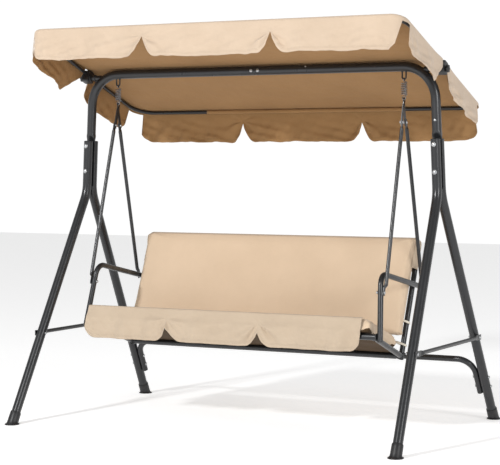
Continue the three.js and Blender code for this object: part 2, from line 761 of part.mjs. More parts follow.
function yokeBolt({ label, sign }, end) {
  const hole = hangerPoint(sign, end, YOKE_BOLT_HEIGHT);
  const outer = hole.clone().setX(sign * (HANGER_HALF_WIDTH + HANGER.thickness / 2));
  const inner = hole.clone().setX(sign * (HOOK_HALF_WIDTH - YOKE.thickness / 2));
  return bolt(`yoke_bolt_${end.label}_${label}`, BOLT_M6, outer, inner);
}

/** Bent tube: front post, knee and arm, bolted to the hangers and to the back's upright. */
function armrest({ label, sign }) {
  const foot = armPostPoint(sign, ARM.footHeight);
  const knee = armPostPoint(sign, ARM.kneeHeight);
  const hole = hung(sign * ARM_REAR_HALF_WIDTH, uprightDepth(BACK.boltHeight), BACK.boltHeight);
  const along = hole.clone().sub(knee).normalize();
  const rear = hole.clone().addScaledVector(along, ARM.rearOverhang);
  let solid = hollowTube([foot, knee, rear], ARM.kneeRadius, ARM.diameter, BENCH_WALL);
  solid = drill(solid, armPostPoint(sign, ARM.boltHeight), ALONG_X, BOLT_M6.shank, ARM.diameter);
  solid = drill(solid, hole, ALONG_X, BOLT_M6.shank, ARM.diameter);
  return piece(`armrest_${label}`, solid, CHARCOAL);
}

function armBolts({ label, sign }) {
  const seats = (end, y, innerX) => {
    const { x, height } = HANGER_FEET[end];
    const outer = hung(sign * (x + HANGER.thickness / 2), y, height);
    return [outer, outer.clone().setX(sign * innerX)];
  };
  const front = armPostPoint(1, ARM.boltHeight);
  const lean = (ARM_FOOT_X - ARM_KNEE_X) / (ARM.kneeHeight - ARM.footHeight);
  const frontInner = front.x - ARM.diameter / 2 - lean * BOLT_M6.nutRadius;
  const rearInner = BACK.halfWidth - BACK.diameter / 2;
  return [
    bolt(`arm_bolt_front_${label}`, BOLT_M6, ...seats('front', front.y, frontInner)),
    bolt(`arm_bolt_rear_${label}`, BOLT_M6, ...seats('rear', uprightDepth(BACK.boltHeight), rearInner)),
  ];
}

/** One bent tube: two uprights and the top rail of the back. */
function backFrame() {
  const corners = [
    hung(-BACK.halfWidth, BACK.footY, BACK.footHeight),
    hung(-BACK.halfWidth, BACK.topY, BACK.topHeight),
    hung(BACK.halfWidth, BACK.topY, BACK.topHeight),
    hung(BACK.halfWidth, BACK.footY, BACK.footHeight),
  ];
  let solid = hollowTube(corners, BACK.cornerRadius, BACK.diameter, BENCH_WALL);
  SIDES.forEach(({ sign }) => {
    const hole = hung(sign * BACK.halfWidth, uprightDepth(BACK.boltHeight), BACK.boltHeight);
    solid = drill(solid, hole, ALONG_X, BOLT_M6.shank, BACK.diameter);
  });
  return piece('back_frame', solid, CHARCOAL);
}

function openTube(name, halfLength, diameter, place) {
  const outer = bar(vec(-halfLength, 0, 0), vec(halfLength, 0, 0), diameter);
  const reach = halfLength + 1;
  const bore = bar(vec(-reach, 0, 0), vec(reach, 0, 0), diameter - 2 * BENCH_WALL, BORE_SIDES);
  return at(piece(name, outer.subtract(bore), CHARCOAL), place.x, place.y, place.z);
}

function seatFrontTube() {
  const post = armPostPoint(1, SEAT.frontHeight);
  const halfLength = post.x - ARM.diameter / 2 - GAP - 1;
  return openTube('seat_front_tube', halfLength, SEAT.frontDiameter, hung(0, SEAT.frontY, SEAT.frontHeight));
}

function seatRearTube() {
  const halfLength = BACK.halfWidth - BACK.diameter / 2 - GAP;
  const place = hung(0, uprightDepth(SEAT.rearTubeHeight), SEAT.rearTubeHeight);
  return openTube('seat_rear_tube', halfLength, BACK.diameter, place);
}

/** Seat side rail, coped to the front tube and to the upright that it is welded to. */
function seatRail({ label, sign }) {
  const front = hung(sign * (BACK.halfWidth + SEAT.railFrontOut), SEAT.frontY, SEAT.frontHeight);
  const rear = hung(sign * BACK.halfWidth, uprightDepth(SEAT.rearTubeHeight), SEAT.rearTubeHeight);
  const reach = ALONG_X.clone().multiplyScalar(SEAT.railDiameter * 2);
  const frontCope = bar(front.clone().sub(reach), front.clone().add(reach), SEAT.frontDiameter + 2 * GAP);
  const low = hung(rear.x, uprightDepth(BACK.footHeight - 60), BACK.footHeight - 60);
  const high = hung(rear.x, uprightDepth(BACK.footHeight + 100), BACK.footHeight + 100);
  const solid = bar(front, rear, SEAT.railDiameter)
    .subtract(bar(front, rear, SEAT.railDiameter - 2 * BENCH_WALL, BORE_SIDES))
    .subtract(frontCope)
    .subtract(bar(low, high, BACK.diameter + 2 * GAP));
  return piece(`seat_rail_${label}`, solid, CHARCOAL);
}

// ---------------------------------------------------------------- pads
const SEAT_FALL = SEAT.frontHeight - SEAT.rearTubeHeight;
const SEAT_SLOPE = Math.atan2(SEAT_FALL, uprightDepth(SEAT.rearTubeHeight) - SEAT.frontY);
const BACK_LEAN = Math.atan2(BACK.topY - BACK.footY, BACK.topHeight - BACK.footHeight);

/** Outline of a hanging flap: straight top, lobes with rounded corners parted by bell-shaped notches. */
function flapShape(left, right, notches, drop, notch) {
  const { rise, halfWidth, corner } = notch;
  const shape = new THREE.Shape();
  shape.moveTo(left, 0);
  shape.lineTo(left, -drop + corner);
  shape.quadraticCurveTo(left, -drop, left + corner, -drop);
  notches.forEach((x) => {
    const open = halfWidth + corner;
    shape.lineTo(x - open, -drop);
    shape.quadraticCurveTo(x - halfWidth, -drop, x - halfWidth * 0.7, -drop + corner);
    shape.lineTo(x, -drop + rise);
    shape.lineTo(x + halfWidth * 0.7, -drop + corner);
    shape.quadraticCurveTo(x + halfWidth, -drop, x + open, -drop);
  });
  shape.lineTo(right - corner, -drop);
  shape.quadraticCurveTo(right, -drop, right, -drop + corner);
  shape.lineTo(right, 0);
  return shape;
}

/** A flap standing in the XZ plane, its outer face towards -Y. */
function flap(shape, thickness) {
  const options = { depth: thickness, bevelEnabled: false, curveSegments: 4 };
  return toSolid(new THREE.ExtrudeGeometry(shape, options).rotateX(Math.PI / 2));
}

/** Seat pad with its front flap, in its own frame on the front tube's centre line. */
function seatPad() {
  const { sideInset, thickness, frontOverhang, length, lift } = SEAT_PAD;
  const halfWidth = BACK.halfWidth - sideInset;
  const left = -BACK.halfWidth - SKIRT.leftOverhang;
  const right = BACK.halfWidth - SKIRT.rightInset;
  const underside = SEAT.frontDiameter / 2 + lift;
  const rear = length - frontOverhang;
  const slab = box(vec(-halfWidth, -frontOverhang, underside), vec(halfWidth, rear, underside + thickness));
  const notch = { rise: SKIRT.rise, halfWidth: 22, corner: 34 };
  const shape = flapShape(left, right, SKIRT.notches, SKIRT.top - SKIRT.foot, notch);
  const front = vec(0, -frontOverhang, underside).applyAxisAngle(ALONG_X, -SEAT_SLOPE);
  const hang = [0, front.y + SKIRT.thickness / 2, SKIRT.top - SEAT.frontHeight];
  const skirt = flap(shape, SKIRT.thickness).translate(hang);
  const tilted = slab.rotate([-THREE.MathUtils.radToDeg(SEAT_SLOPE), 0, 0]);
  const place = hung(0, SEAT.frontY, SEAT.frontHeight);
  return at(piece('seat_pad', tilted.add(skirt), BEIGE), place.x, place.y, place.z);
}

function backPad() {
  const { sideInset, thickness, foot, top, lift } = BACK_PAD;
  const halfWidth = BACK.halfWidth - sideInset;
  const rear = -BACK.diameter / 2 - lift;
  const solid = box(vec(-halfWidth, rear - thickness, foot), vec(halfWidth, rear, top));
  const mesh = piece('back_pad', solid, BEIGE);
  mesh.position.copy(hung(0, BACK.footY, BACK.footHeight));
  mesh.rotation.x = -BACK_LEAN;
  return mesh;
}

function bench() {
  const group = at(new THREE.Group(), 0, 0, SWING_HEIGHT);
  SIDES.forEach((side) => {
    group.add(spring(side), yoke(side), armrest(side), seatRail(side), ...armBolts(side));
    ENDS.forEach((end) => group.add(hanger(side, end)));
    group.add(yokeBolt(side, ENDS[1]));
  });
  group.add(backFrame(), seatFrontTube(), seatRearTube(), seatPad(), backPad());
  return group;
}

// ---------------------------------------------------------------- canopy
// The canopy group's origin is on the tilt axis: +Z is square to the roof and -Y its front.
/** Half of the canopy's frame: a C of tube whose ends meet the other half in the middle. */
function canopyFrame({ label, sign }) {
  const { barHalfWidth, barHalfDepth, barRise, barDiameter, cornerRadius, spigotLength, spigotWall } = CANOPY;
  const seam = (sign * GAP) / 2;
  const corners = [
    vec(seam, -barHalfDepth, barRise),
    vec(sign * barHalfWidth, -barHalfDepth, barRise),
    vec(sign * barHalfWidth, barHalfDepth, barRise),
    vec(seam, barHalfDepth, barRise),
  ];
  const inner = barDiameter - 2 * spigotWall;
  let solid = toSolid(tube(new TubeLine(corners, cornerRadius), barDiameter));
  ENDS.forEach((end) => {
    const y = end.sign * barHalfDepth;
    if (sign > 0) {
      solid = solid.add(bar(vec(-spigotLength, y, barRise), vec(1, y, barRise), inner - 2 * GAP));
    } else {
      solid = solid.subtract(bar(vec(-spigotLength - 1, y, barRise), vec(1, y, barRise), inner));
    }
  });
  return piece(`canopy_frame_${label}`, solid, CHARCOAL);
}

/** Block that grips a side bar and turns on the stub. */
function canopyClamp({ label, sign }) {
  const { halfDepth, foot, top, outerX } = CLAMP;
  const innerX = CANOPY.hubX + GAP;
  const width = outerX - innerX;
  const corner = 6;
  const shape = new THREE.Shape();
  shape.moveTo(-halfDepth + corner, foot);
  shape.lineTo(halfDepth - corner, foot);
  shape.lineTo(halfDepth, foot + corner);
  shape.lineTo(halfDepth, top - corner);
  shape.lineTo(halfDepth - corner, top);
  shape.lineTo(-halfDepth + corner, top);
  shape.lineTo(-halfDepth, top - corner);
  shape.lineTo(-halfDepth, foot + corner);
  const block = toSolid(new THREE.ExtrudeGeometry(shape, { depth: width, bevelEnabled: false }));
  const start = sign > 0 ? innerX : -outerX;
  let solid = block.rotate([90, 0, 0]).rotate([0, 0, 90]).translate([start, 0, 0]);
  solid = solid.subtract(
    bar(
      vec(sign * CANOPY.barHalfWidth, -halfDepth - 1, CANOPY.barRise),
      vec(sign * CANOPY.barHalfWidth, halfDepth + 1, CANOPY.barRise),
      CANOPY.barDiameter + 2 * GAP,
    ),
  );
  const screwHole = bar(vec(-width, 0, 0), vec(width, 0, 0), BOLT_M8.shank + HOLE_PLAY, PIVOT_SIDES);
  solid = solid.subtract(screwHole.translate([sign * (innerX + width / 2), 0, 0]));
  return piece(`canopy_clamp_${label}`, solid, BLACK_PLASTIC);
}

/** Hand knob with its screw, in its own frame: the head points along +X, the screw runs back through it. */
function canopyKnob({ label, sign }) {
  const shape = new THREE.Shape();
  const points = KNOB.lobes * 6;
  for (let k = 0; k < points; k += 1) {
    const angle = (2 * Math.PI * k) / points;
    const reach = KNOB.radius - 1.6 + 1.6 * Math.cos(KNOB.lobes * angle);
    const x = reach * Math.cos(angle);
    const y = reach * Math.sin(angle);
    if (k === 0) {
      shape.moveTo(x, y);
    } else {
      shape.lineTo(x, y);
    }
  }
  const head = toSolid(new THREE.ExtrudeGeometry(shape, { depth: KNOB.thickness, bevelEnabled: false }));
  const grip = CLAMP.outerX + GAP - CANOPY.hubX + KNOB.boltDepth;
  const screw = bar(vec(0, 0, -grip), vec(0, 0, 1), BOLT_M8.shank);
  const mesh = piece(`canopy_knob_${label}`, head.add(screw), BLACK_PLASTIC);
  mesh.position.set(sign * (CLAMP.outerX + GAP), 0, 0);
  mesh.rotation.y = (sign * Math.PI) / 2;
  return mesh;
}

/** Roof: a shallow ridge over the beam, seen end on as depth against height. */
function roofSolid() {
  const { halfWidth, overhang, thickness, crownHalfDepth } = FABRIC;
  const edge = CANOPY.barHalfDepth + CANOPY.barDiameter / 2 + overhang;
  const low = CANOPY.barRise + CANOPY.barDiameter / 2 + 0.5;
  const crown = ROOF_CROWN;
  const outline = [
    [-edge, low],
    [-crownHalfDepth, low + crown],
    [crownHalfDepth, low + crown],
    [edge, low],
    [edge, low + thickness],
    [crownHalfDepth, low + crown + thickness],
    [-crownHalfDepth, low + crown + thickness],
    [-edge, low + thickness],
  ].map(([y, z]) => new THREE.Vector2(y, z));
  const options = { depth: 2 * halfWidth, bevelEnabled: false };
  const roof = toSolid(new THREE.ExtrudeGeometry(new THREE.Shape(outline), options));
  return roof.rotate([90, 0, 0]).rotate([0, 0, 90]).translate([-halfWidth, 0, 0]);
}

/** Front or rear valance: it hangs plumb, so it leans back by the canopy's tilt in this frame. */
function endValance(end) {
  const { halfWidth, thickness, drops, endNotches, endInset } = FABRIC;
  const { notchRise, notchHalfWidth, notchCorner } = FABRIC;
  const head = CANOPY.barDiameter / 2 + (end.sign < 0 ? 6.5 : -1.5);
  const notch = { rise: notchRise, halfWidth: notchHalfWidth, corner: notchCorner };
  const reach = halfWidth - endInset;
  const shape = flapShape(-reach, reach, endNotches, drops[end.label] + head, notch);
  const face = CANOPY.barDiameter / 2 + 0.5;
  const start = end.sign < 0 ? -face : face + thickness;
  return flap(shape, thickness)
    .translate([0, start, head])
    .rotate([THREE.MathUtils.radToDeg(CANOPY.tilt), 0, 0])
    .translate([0, end.sign * CANOPY.barHalfDepth, CANOPY.barRise]);
}

/** Side valance: two lobes either side of the clamp, flaring outwards. */
function sideValance(sign) {
  const { halfWidth, thickness, sideDrop, sideFlare, sideEnd, sideSlot, notchCorner } = FABRIC;
  const { crownHalfDepth, sideTipDepth, sideTipDrop } = FABRIC;
  const crown = ROOF_CROWN;
  const low = CANOPY.barRise + CANOPY.barDiameter / 2 + 1.5;
  const foot = CANOPY.barRise - sideDrop;
  const slotTop = CLAMP.top + 1;
  const shape = new THREE.Shape();
  shape.moveTo(-sideEnd, low);
  shape.lineTo(-sideEnd, foot + notchCorner);
  shape.quadraticCurveTo(-sideEnd, foot, -sideEnd + notchCorner, foot);
  shape.lineTo(-sideTipDepth - notchCorner * 2, foot);
  shape.lineTo(-sideTipDepth, CANOPY.barRise - sideTipDrop);
  shape.lineTo(-sideSlot, 0);
  shape.lineTo(-sideSlot, slotTop);
  shape.lineTo(sideSlot, slotTop);
  shape.lineTo(sideSlot, foot + notchCorner * 1.6);
  shape.quadraticCurveTo(sideSlot, foot, sideSlot + notchCorner * 1.6, foot);
  shape.lineTo(sideEnd - notchCorner, foot);
  shape.quadraticCurveTo(sideEnd, foot, sideEnd, foot + notchCorner);
  shape.lineTo(sideEnd, low);
  shape.lineTo(crownHalfDepth, low + crown);
  shape.lineTo(-crownHalfDepth, low + crown);
  const options = { depth: thickness, bevelEnabled: false, curveSegments: 4 };
  const geometry = new THREE.ExtrudeGeometry(shape, options);
  const flare = Math.atan2(sideFlare, sideDrop);
  const strip = toSolid(geometry).rotate([90, 0, 0]).rotate([0, 0, 90]).translate([-thickness / 2, 0, -low]);
  return strip
    .rotate([0, -sign * THREE.MathUtils.radToDeg(flare), 0])
    .translate([sign * (halfWidth - thickness), 0, low]);
}

function canopyFabric() {
  let solid = roofSolid();
  ENDS.forEach((end) => {
    solid = solid.add(endValance(end));
  });
  SIDES.forEach(({ sign }) => {
    solid = solid.add(sideValance(sign));
  });
  return piece('canopy_fabric', solid, BEIGE);
}

function canopy() {
  const group = at(new THREE.Group(), 0, 0, PIVOT_HEIGHT);
  group.rotation.x = -CANOPY.tilt;
  SIDES.forEach((side) => group.add(canopyFrame(side), canopyClamp(side), canopyKnob(side)));
  group.add(canopyFabric());
  return group;
}

// ---------------------------------------------------------------- assembly
const swingBench = new THREE.Group();
swingBench.add(stand(), bench(), canopy());

export default swingBench;
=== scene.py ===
"""Looks of a canopy swing bench: tubes, fittings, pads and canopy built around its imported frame.

Lengths are in metres. +X runs along the bench to the sitter's left, -Y to the front and +Z up, and the
origin is on the floor midway between the feet. Each sub-assembly is a class that builds and dresses its
own pieces; shapes are surfaces of two parameters or sections carried along a path, worked out as arrays.
"""

import json
import logging
import math
from dataclasses import dataclass, replace
from enum import Enum
from functools import cache
from typing import Protocol

import bmesh
import bpy
import numpy as np
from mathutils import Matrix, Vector
from numpy.typing import NDArray

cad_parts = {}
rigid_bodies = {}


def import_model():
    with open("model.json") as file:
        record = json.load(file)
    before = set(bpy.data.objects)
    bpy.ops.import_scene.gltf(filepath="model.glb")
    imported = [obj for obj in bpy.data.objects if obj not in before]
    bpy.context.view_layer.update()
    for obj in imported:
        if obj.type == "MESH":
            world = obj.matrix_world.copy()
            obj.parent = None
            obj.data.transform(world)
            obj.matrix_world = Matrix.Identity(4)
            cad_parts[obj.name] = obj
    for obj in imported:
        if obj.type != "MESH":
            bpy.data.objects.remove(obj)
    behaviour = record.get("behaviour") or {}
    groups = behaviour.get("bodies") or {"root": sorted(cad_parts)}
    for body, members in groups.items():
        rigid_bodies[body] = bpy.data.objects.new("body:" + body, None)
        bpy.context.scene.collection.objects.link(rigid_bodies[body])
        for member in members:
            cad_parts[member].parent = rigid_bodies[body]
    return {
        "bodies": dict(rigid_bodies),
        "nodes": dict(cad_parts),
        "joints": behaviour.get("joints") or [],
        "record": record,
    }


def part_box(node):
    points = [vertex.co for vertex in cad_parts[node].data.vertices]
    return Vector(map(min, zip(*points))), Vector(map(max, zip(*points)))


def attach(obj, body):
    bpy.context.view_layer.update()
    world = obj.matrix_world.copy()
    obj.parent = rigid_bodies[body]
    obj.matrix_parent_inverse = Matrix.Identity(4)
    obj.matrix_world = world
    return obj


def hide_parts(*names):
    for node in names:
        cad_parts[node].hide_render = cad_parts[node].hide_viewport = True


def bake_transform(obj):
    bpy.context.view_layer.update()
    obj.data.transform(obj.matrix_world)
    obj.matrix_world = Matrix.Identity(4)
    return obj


Array = NDArray[np.float64]
Point = tuple[float, float, float]
Colour = tuple[float, float, float, float]

LOG = logging.getLogger("swing_bench")
UP = np.array([0.0, 0.0, 1.0])
ALONG_X = np.array([1.0, 0.0, 0.0])
ALONG_Y = np.array([0.0, 1.0, 0.0])
GAP = 0.0003


class Body(str, Enum):
    """The rigid bodies that pieces ride on."""

    STAND = "stand"
    SPRINGS = "springs"
    BENCH = "bench"
    CANOPY = "canopy"
    KNOB_LEFT = "knob_left"
    KNOB_RIGHT = "knob_right"


class Side(Enum):
    """The bench's two sides, with the sign of their X."""

    LEFT = -1
    RIGHT = 1

    @property
    def label(self) -> str:
        """Name used in node and piece names."""
        return self.name.lower()

    @property
    def sign(self) -> int:
        """Sign of X on this side."""
        return int(self.value)


class End(Enum):
    """Front and rear, with the sign of their Y."""

    FRONT = -1
    REAR = 1

    @property
    def label(self) -> str:
        """Name used in node and piece names."""
        return self.name.lower()

    @property
    def sign(self) -> int:
        """Sign of Y at this end."""
        return int(self.value)


# ---------------------------------------------------------------- finishes
class Graph:
    """A material's node tree, with short calls to add nodes and join them."""

    def __init__(self, name: str) -> None:
        """Starts a material with a Principled shader on its output.

        Args:
            name: the material's name.
        """
        self.material = bpy.data.materials.new(name)
        self.material.use_nodes = True
        self.tree = self.material.node_tree
        self.shader = self.tree.nodes["Principled BSDF"]

    def add(self, kind: str, sockets: dict | None = None, **settings: object) -> bpy.types.Node:
        """Adds a node.

        Args:
            kind: the node's type name without its ShaderNode prefix.
            sockets: input name or number to a value, or to the output socket that feeds it.
            settings: properties of the node.

        Returns:
            The new node.
        """
        node = self.tree.nodes.new("ShaderNode" + kind)
        for name, value in settings.items():
            setattr(node, name, value)
        for key, value in (sockets or {}).items():
            self.join(value, node.inputs[key])
        return node

    def join(self, value: object, socket: bpy.types.NodeSocket) -> None:
        """Links an output socket to an input, or sets the input's own value.

        Args:
            value: a number, a colour or an output socket.
            socket: the input.
        """
        if isinstance(value, bpy.types.NodeSocket):
            self.tree.links.new(value, socket)
        else:
            socket.default_value = value

    def math(self, operation: str, *values: object) -> bpy.types.NodeSocket:
        """Adds a Math node."""
        node = self.add("Math", dict(enumerate(values)), operation=operation)
        return node.outputs[0]

    def noise(
        self, where: object, scale: float, detail: float = 2.0, rough: float = 0.5
    ) -> bpy.types.NodeSocket:
        """Adds a noise texture."""
        sockets = {"Vector": where, "Scale": scale, "Detail": detail, "Roughness": rough}
        return self.add("TexNoise", sockets).outputs["Fac"]

    def blend(self, share: object, low: Colour, high: Colour) -> bpy.types.NodeSocket:
        """Mixes two colours by a share from 0 to 1.

        Args:
            share: the share of the second colour.
            low: colour at 0.
            high: colour at 1.

        Returns:
            The mixed colour.
        """
        node = self.add("Mix", data_type="RGBA")
        self.join(share, node.inputs["Factor"])
        self.join(low, node.inputs["A"])
        self.join(high, node.inputs["B"])
        return node.outputs["Result"]

    def ramp(self, value: object, low: float, high: float) -> bpy.types.NodeSocket:
        """Rises from 0 to 1 as a value goes from one number to another, and stays there."""
        node = self.add("MapRange", {"Value": value, "From Min": low, "From Max": high})
        return node.outputs["Result"]

    def surface(self, **sockets: object) -> None:
        """Sets or links the shader's inputs, whose names have underscores for spaces."""
        for name, value in sockets.items():
            self.join(value, self.shader.inputs[name.replace("_", " ")])

    def bump(
        self, height: object, strength: float, distance: float, under: object = None
    ) -> bpy.types.NodeSocket:
        """Adds a bump.

        Args:
            height: the height's socket, 0 to 1.
            strength: how strong it is, 0 to 1.
            distance: the height that 1 stands for, in metres.
            under: a normal from an earlier bump.

        Returns:
            The bumped normal.
        """
        sockets = {"Height": height, "Strength": strength, "Distance": distance}
        if under is not None:
            sockets["Normal"] = under
        return self.add("Bump", sockets).outputs["Normal"]

    def object_place(self) -> bpy.types.NodeSocket:
        """Object coordinates, in metres."""
        return self.add("TexCoord").outputs["Object"]


class Finish(Protocol):
    """Anything that can make a material."""

    name: str

    def material(self) -> bpy.types.Material:
        """Makes the material, or returns it if it is already made."""
        ...


@dataclass(frozen=True)
class PowderCoat:
    """Baked powder paint on steel: fine orange peel, faint dust and worn specks."""

    name: str = "powder_coat"
    colour: Colour = (0.019, 0.020, 0.022, 1.0)
    dust: Colour = (0.042, 0.042, 0.044, 1.0)
    roughness: float = 0.30
    peel_scale: float = 700.0

    @cache
    def material(self) -> bpy.types.Material:
        """Makes the paint: mottled colour, uneven gloss and orange-peel bump.

        Returns:
            The material.
        """
        g = Graph(self.name)
        place = g.object_place()
        mottle = g.noise(place, 14.0, 3.0)
        specks = g.ramp(g.noise(place, 420.0, 2.0), 0.66, 0.74)
        share = g.math("ADD", g.math("MULTIPLY", mottle, 0.35), g.math("MULTIPLY", specks, 0.35))
        rough = g.math("ADD", g.math("MULTIPLY", g.noise(place, 30.0, 4.0), 0.16), self.roughness - 0.08)
        peel = g.bump(g.noise(place, self.peel_scale, 1.0), 0.10, 0.0004)
        g.surface(Base_Color=g.blend(share, self.colour, self.dust), Roughness=rough, Normal=peel)
        g.surface(Metallic=0.3, Coat_Weight=0.16, Coat_Roughness=0.2)
        return g.material


@dataclass(frozen=True)
class ZincPlate:
    """Bright zinc plating on fasteners and springs, with a soft crystalline mottle."""

    name: str = "zinc_plate"
    colour: Colour = (0.56, 0.57, 0.58, 1.0)
    dull: Colour = (0.36, 0.37, 0.38, 1.0)
    grain: float = 0.08

    @cache
    def material(self) -> bpy.types.Material:
        """Makes the plating: mottled reflectance and brushed roughness.

        Returns:
            The material.
        """
        g = Graph(self.name)
        place = g.object_place()
        cells = g.add("TexVoronoi", {"Vector": place, "Scale": 900.0}).outputs["Distance"]
        mottle = g.ramp(g.noise(place, 160.0, 3.0), 0.35, 0.7)
        rough = g.math("ADD", g.math("MULTIPLY", mottle, 0.22), 0.24)
        g.surface(Base_Color=g.blend(mottle, self.colour, self.dull), Roughness=rough)
        g.surface(Metallic=1.0, Normal=g.bump(cells, self.grain, 0.0003))
        return g.material


@dataclass(frozen=True)
class MouldedPlastic:
    """Black moulded plastic with a fine spark-eroded texture."""

    name: str = "moulded_plastic"
    colour: Colour = (0.010, 0.010, 0.011, 1.0)
    scuffed: Colour = (0.035, 0.034, 0.033, 1.0)

    @cache
    def material(self) -> bpy.types.Material:
        """Makes the plastic: grain, and scuffs that lighten it.

        Returns:
            The material.
        """
        g = Graph(self.name)
        place = g.object_place()
        scuff = g.ramp(g.noise(place, 70.0, 5.0, 0.65), 0.52, 0.72)
        rough = g.math("ADD", g.math("MULTIPLY", scuff, 0.2), 0.42)
        grain = g.bump(g.noise(place, 1400.0, 1.0), 0.15, 0.0003)
        g.surface(Base_Color=g.blend(scuff, self.colour, self.scuffed), Roughness=rough, Normal=grain)
        return g.material


@dataclass(frozen=True)
class WovenCloth:
    """Plain-woven polyester: crossed threads, slubs, soft creases and lines of stitching beside its hems."""

    name: str = "canopy_cloth"
    colour: Colour = (0.565, 0.445, 0.335, 1.0)
    shade: Colour = (0.49, 0.38, 0.28, 1.0)
    thread: float = 0.0009
    crease: float = 0.8
    sheen: float = 0.25
    stitched: bool = True
    stitch_rows: tuple[float, ...] = (0.011, 0.0155)
    stitch_pitch: float = 0.0038

    @cache
    def material(self) -> bpy.types.Material:
        """Makes the cloth from its cloth map, in metres along the threads, and its hem distance.

        Returns:
            The material.
        """
        g = Graph(self.name)
        cloth = g.add("UVMap", uv_map="cloth").outputs["UV"]
        across = g.add("SeparateXYZ", {"Vector": cloth})
        warp = self.ribs(g, across.outputs["X"], 0.0)
        weft = self.ribs(g, across.outputs["Y"], math.pi / 2)
        weave = g.math("MULTIPLY", g.math("ADD", warp, weft), 0.5)
        place = g.object_place()
        slubs = g.noise(g.add("Mapping", {"Vector": cloth, "Scale": (40.0, 600.0, 1.0)}).outputs[0], 1.0, 2.0)
        mottle = g.noise(place, 5.0, 4.0, 0.6)
        share = g.math("ADD", g.math("MULTIPLY", mottle, 0.75), g.math("MULTIPLY", slubs, 0.25))
        colour = g.blend(g.ramp(share, 0.3, 0.75), self.colour, self.shade)
        drawn_out = g.add("Mapping", {"Vector": place, "Scale": (7.0, 9.0, 4.0)}).outputs[0]
        creases = g.noise(drawn_out, 1.0, 5.0, 0.55)
        normal = g.bump(creases, self.crease, 0.012)
        normal = g.bump(weave, 0.18, self.thread * 0.35, normal)
        if self.stitched:
            stitch = self.stitches(g, across.outputs["X"])
            thread = tuple(c * 0.55 for c in self.shade[:3]) + (1.0,)
            colour = g.blend(g.math("MULTIPLY", stitch, 0.45), colour, thread)
            normal = g.bump(stitch, 0.6, 0.0006, normal)
        g.surface(Base_Color=colour, Normal=normal, Roughness=0.88, Specular_IOR_Level=0.2)
        g.surface(Sheen_Weight=self.sheen, Sheen_Roughness=0.5)
        return g.material

    def ribs(self, g: Graph, distance: bpy.types.NodeSocket, phase: float) -> bpy.types.NodeSocket:
        """Rounded threads: the sine of the distance across them."""
        turns = g.math("MULTIPLY_ADD", distance, 2 * math.pi / self.thread, phase)
        return g.math("MULTIPLY_ADD", g.math("SINE", turns), 0.5, 0.5)

    def stitches(self, g: Graph, along: bpy.types.NodeSocket) -> bpy.types.NodeSocket:
        """Rows of dashes at fixed distances from a hem.

        Args:
            g: the graph.
            along: metres along the hem.

        Returns:
            1 on a stitch and 0 elsewhere.
        """
        hem = g.add("Attribute", attribute_name="hem").outputs["Fac"]
        turns = g.math("MULTIPLY", along, 2 * math.pi / self.stitch_pitch)
        dash = g.math("GREATER_THAN", g.math("SINE", turns), -0.35)
        rows = None
        for row in self.stitch_rows:
            near = g.math("LESS_THAN", g.math("ABSOLUTE", g.math("SUBTRACT", hem, row)), 0.0005)
            rows = near if rows is None else g.math("ADD", rows, near)
        return g.math("MULTIPLY", rows, dash)


POWDER = PowderCoat()
ZINC = ZincPlate()
SPRING_STEEL = ZincPlate("spring_steel", (0.30, 0.30, 0.31, 1.0), (0.17, 0.17, 0.175, 1.0), 0.02)
PLASTIC = MouldedPlastic()
CANOPY_CLOTH = WovenCloth()
CANOPY_BACKING = WovenCloth(
    name="canopy_backing", colour=(0.36, 0.205, 0.088, 1.0), shade=(0.30, 0.168, 0.070, 1.0), sheen=0.05
)
# Painted light: a lightened copy of the cushion cloth, made brighter to make up for the shade that the canopy
# casts on the back pad.
PAD_CLOTH_PAINTED_LIGHT = WovenCloth(
    name="pad_cloth_painted_light",
    colour=(0.66, 0.51, 0.365, 1.0),
    shade=(0.59, 0.45, 0.315, 1.0),
    crease=0.25, stitched=False,
)
# Painted shade: a darker copy of the same cushion cloth, for the seat's front flap and the back pad's pocket,
# where shade falls.
SKIRT_CLOTH_PAINTED_SHADE = WovenCloth(
    name="skirt_cloth_painted_shade", colour=(0.51, 0.41, 0.305, 1.0), shade=(0.45, 0.355, 0.26, 1.0), crease=0.6
)
# Painted shade: a much darker copy of the cushion cloth, for the cushions' downward faces, the seat deck and
# the flap's back, where shade falls under the seat.
PAD_PAINTED_SHADE = WovenCloth(
    name="pad_underside",
    colour=(0.075, 0.044, 0.021, 1.0),
    shade=(0.058, 0.034, 0.016, 1.0),
    stitched=False, sheen=0.02,
)
ELASTIC = WovenCloth(
    name="elastic",
    colour=(0.74, 0.68, 0.58, 1.0),
    shade=(0.64, 0.58, 0.48, 1.0),
    thread=0.0012, stitched=False,
)


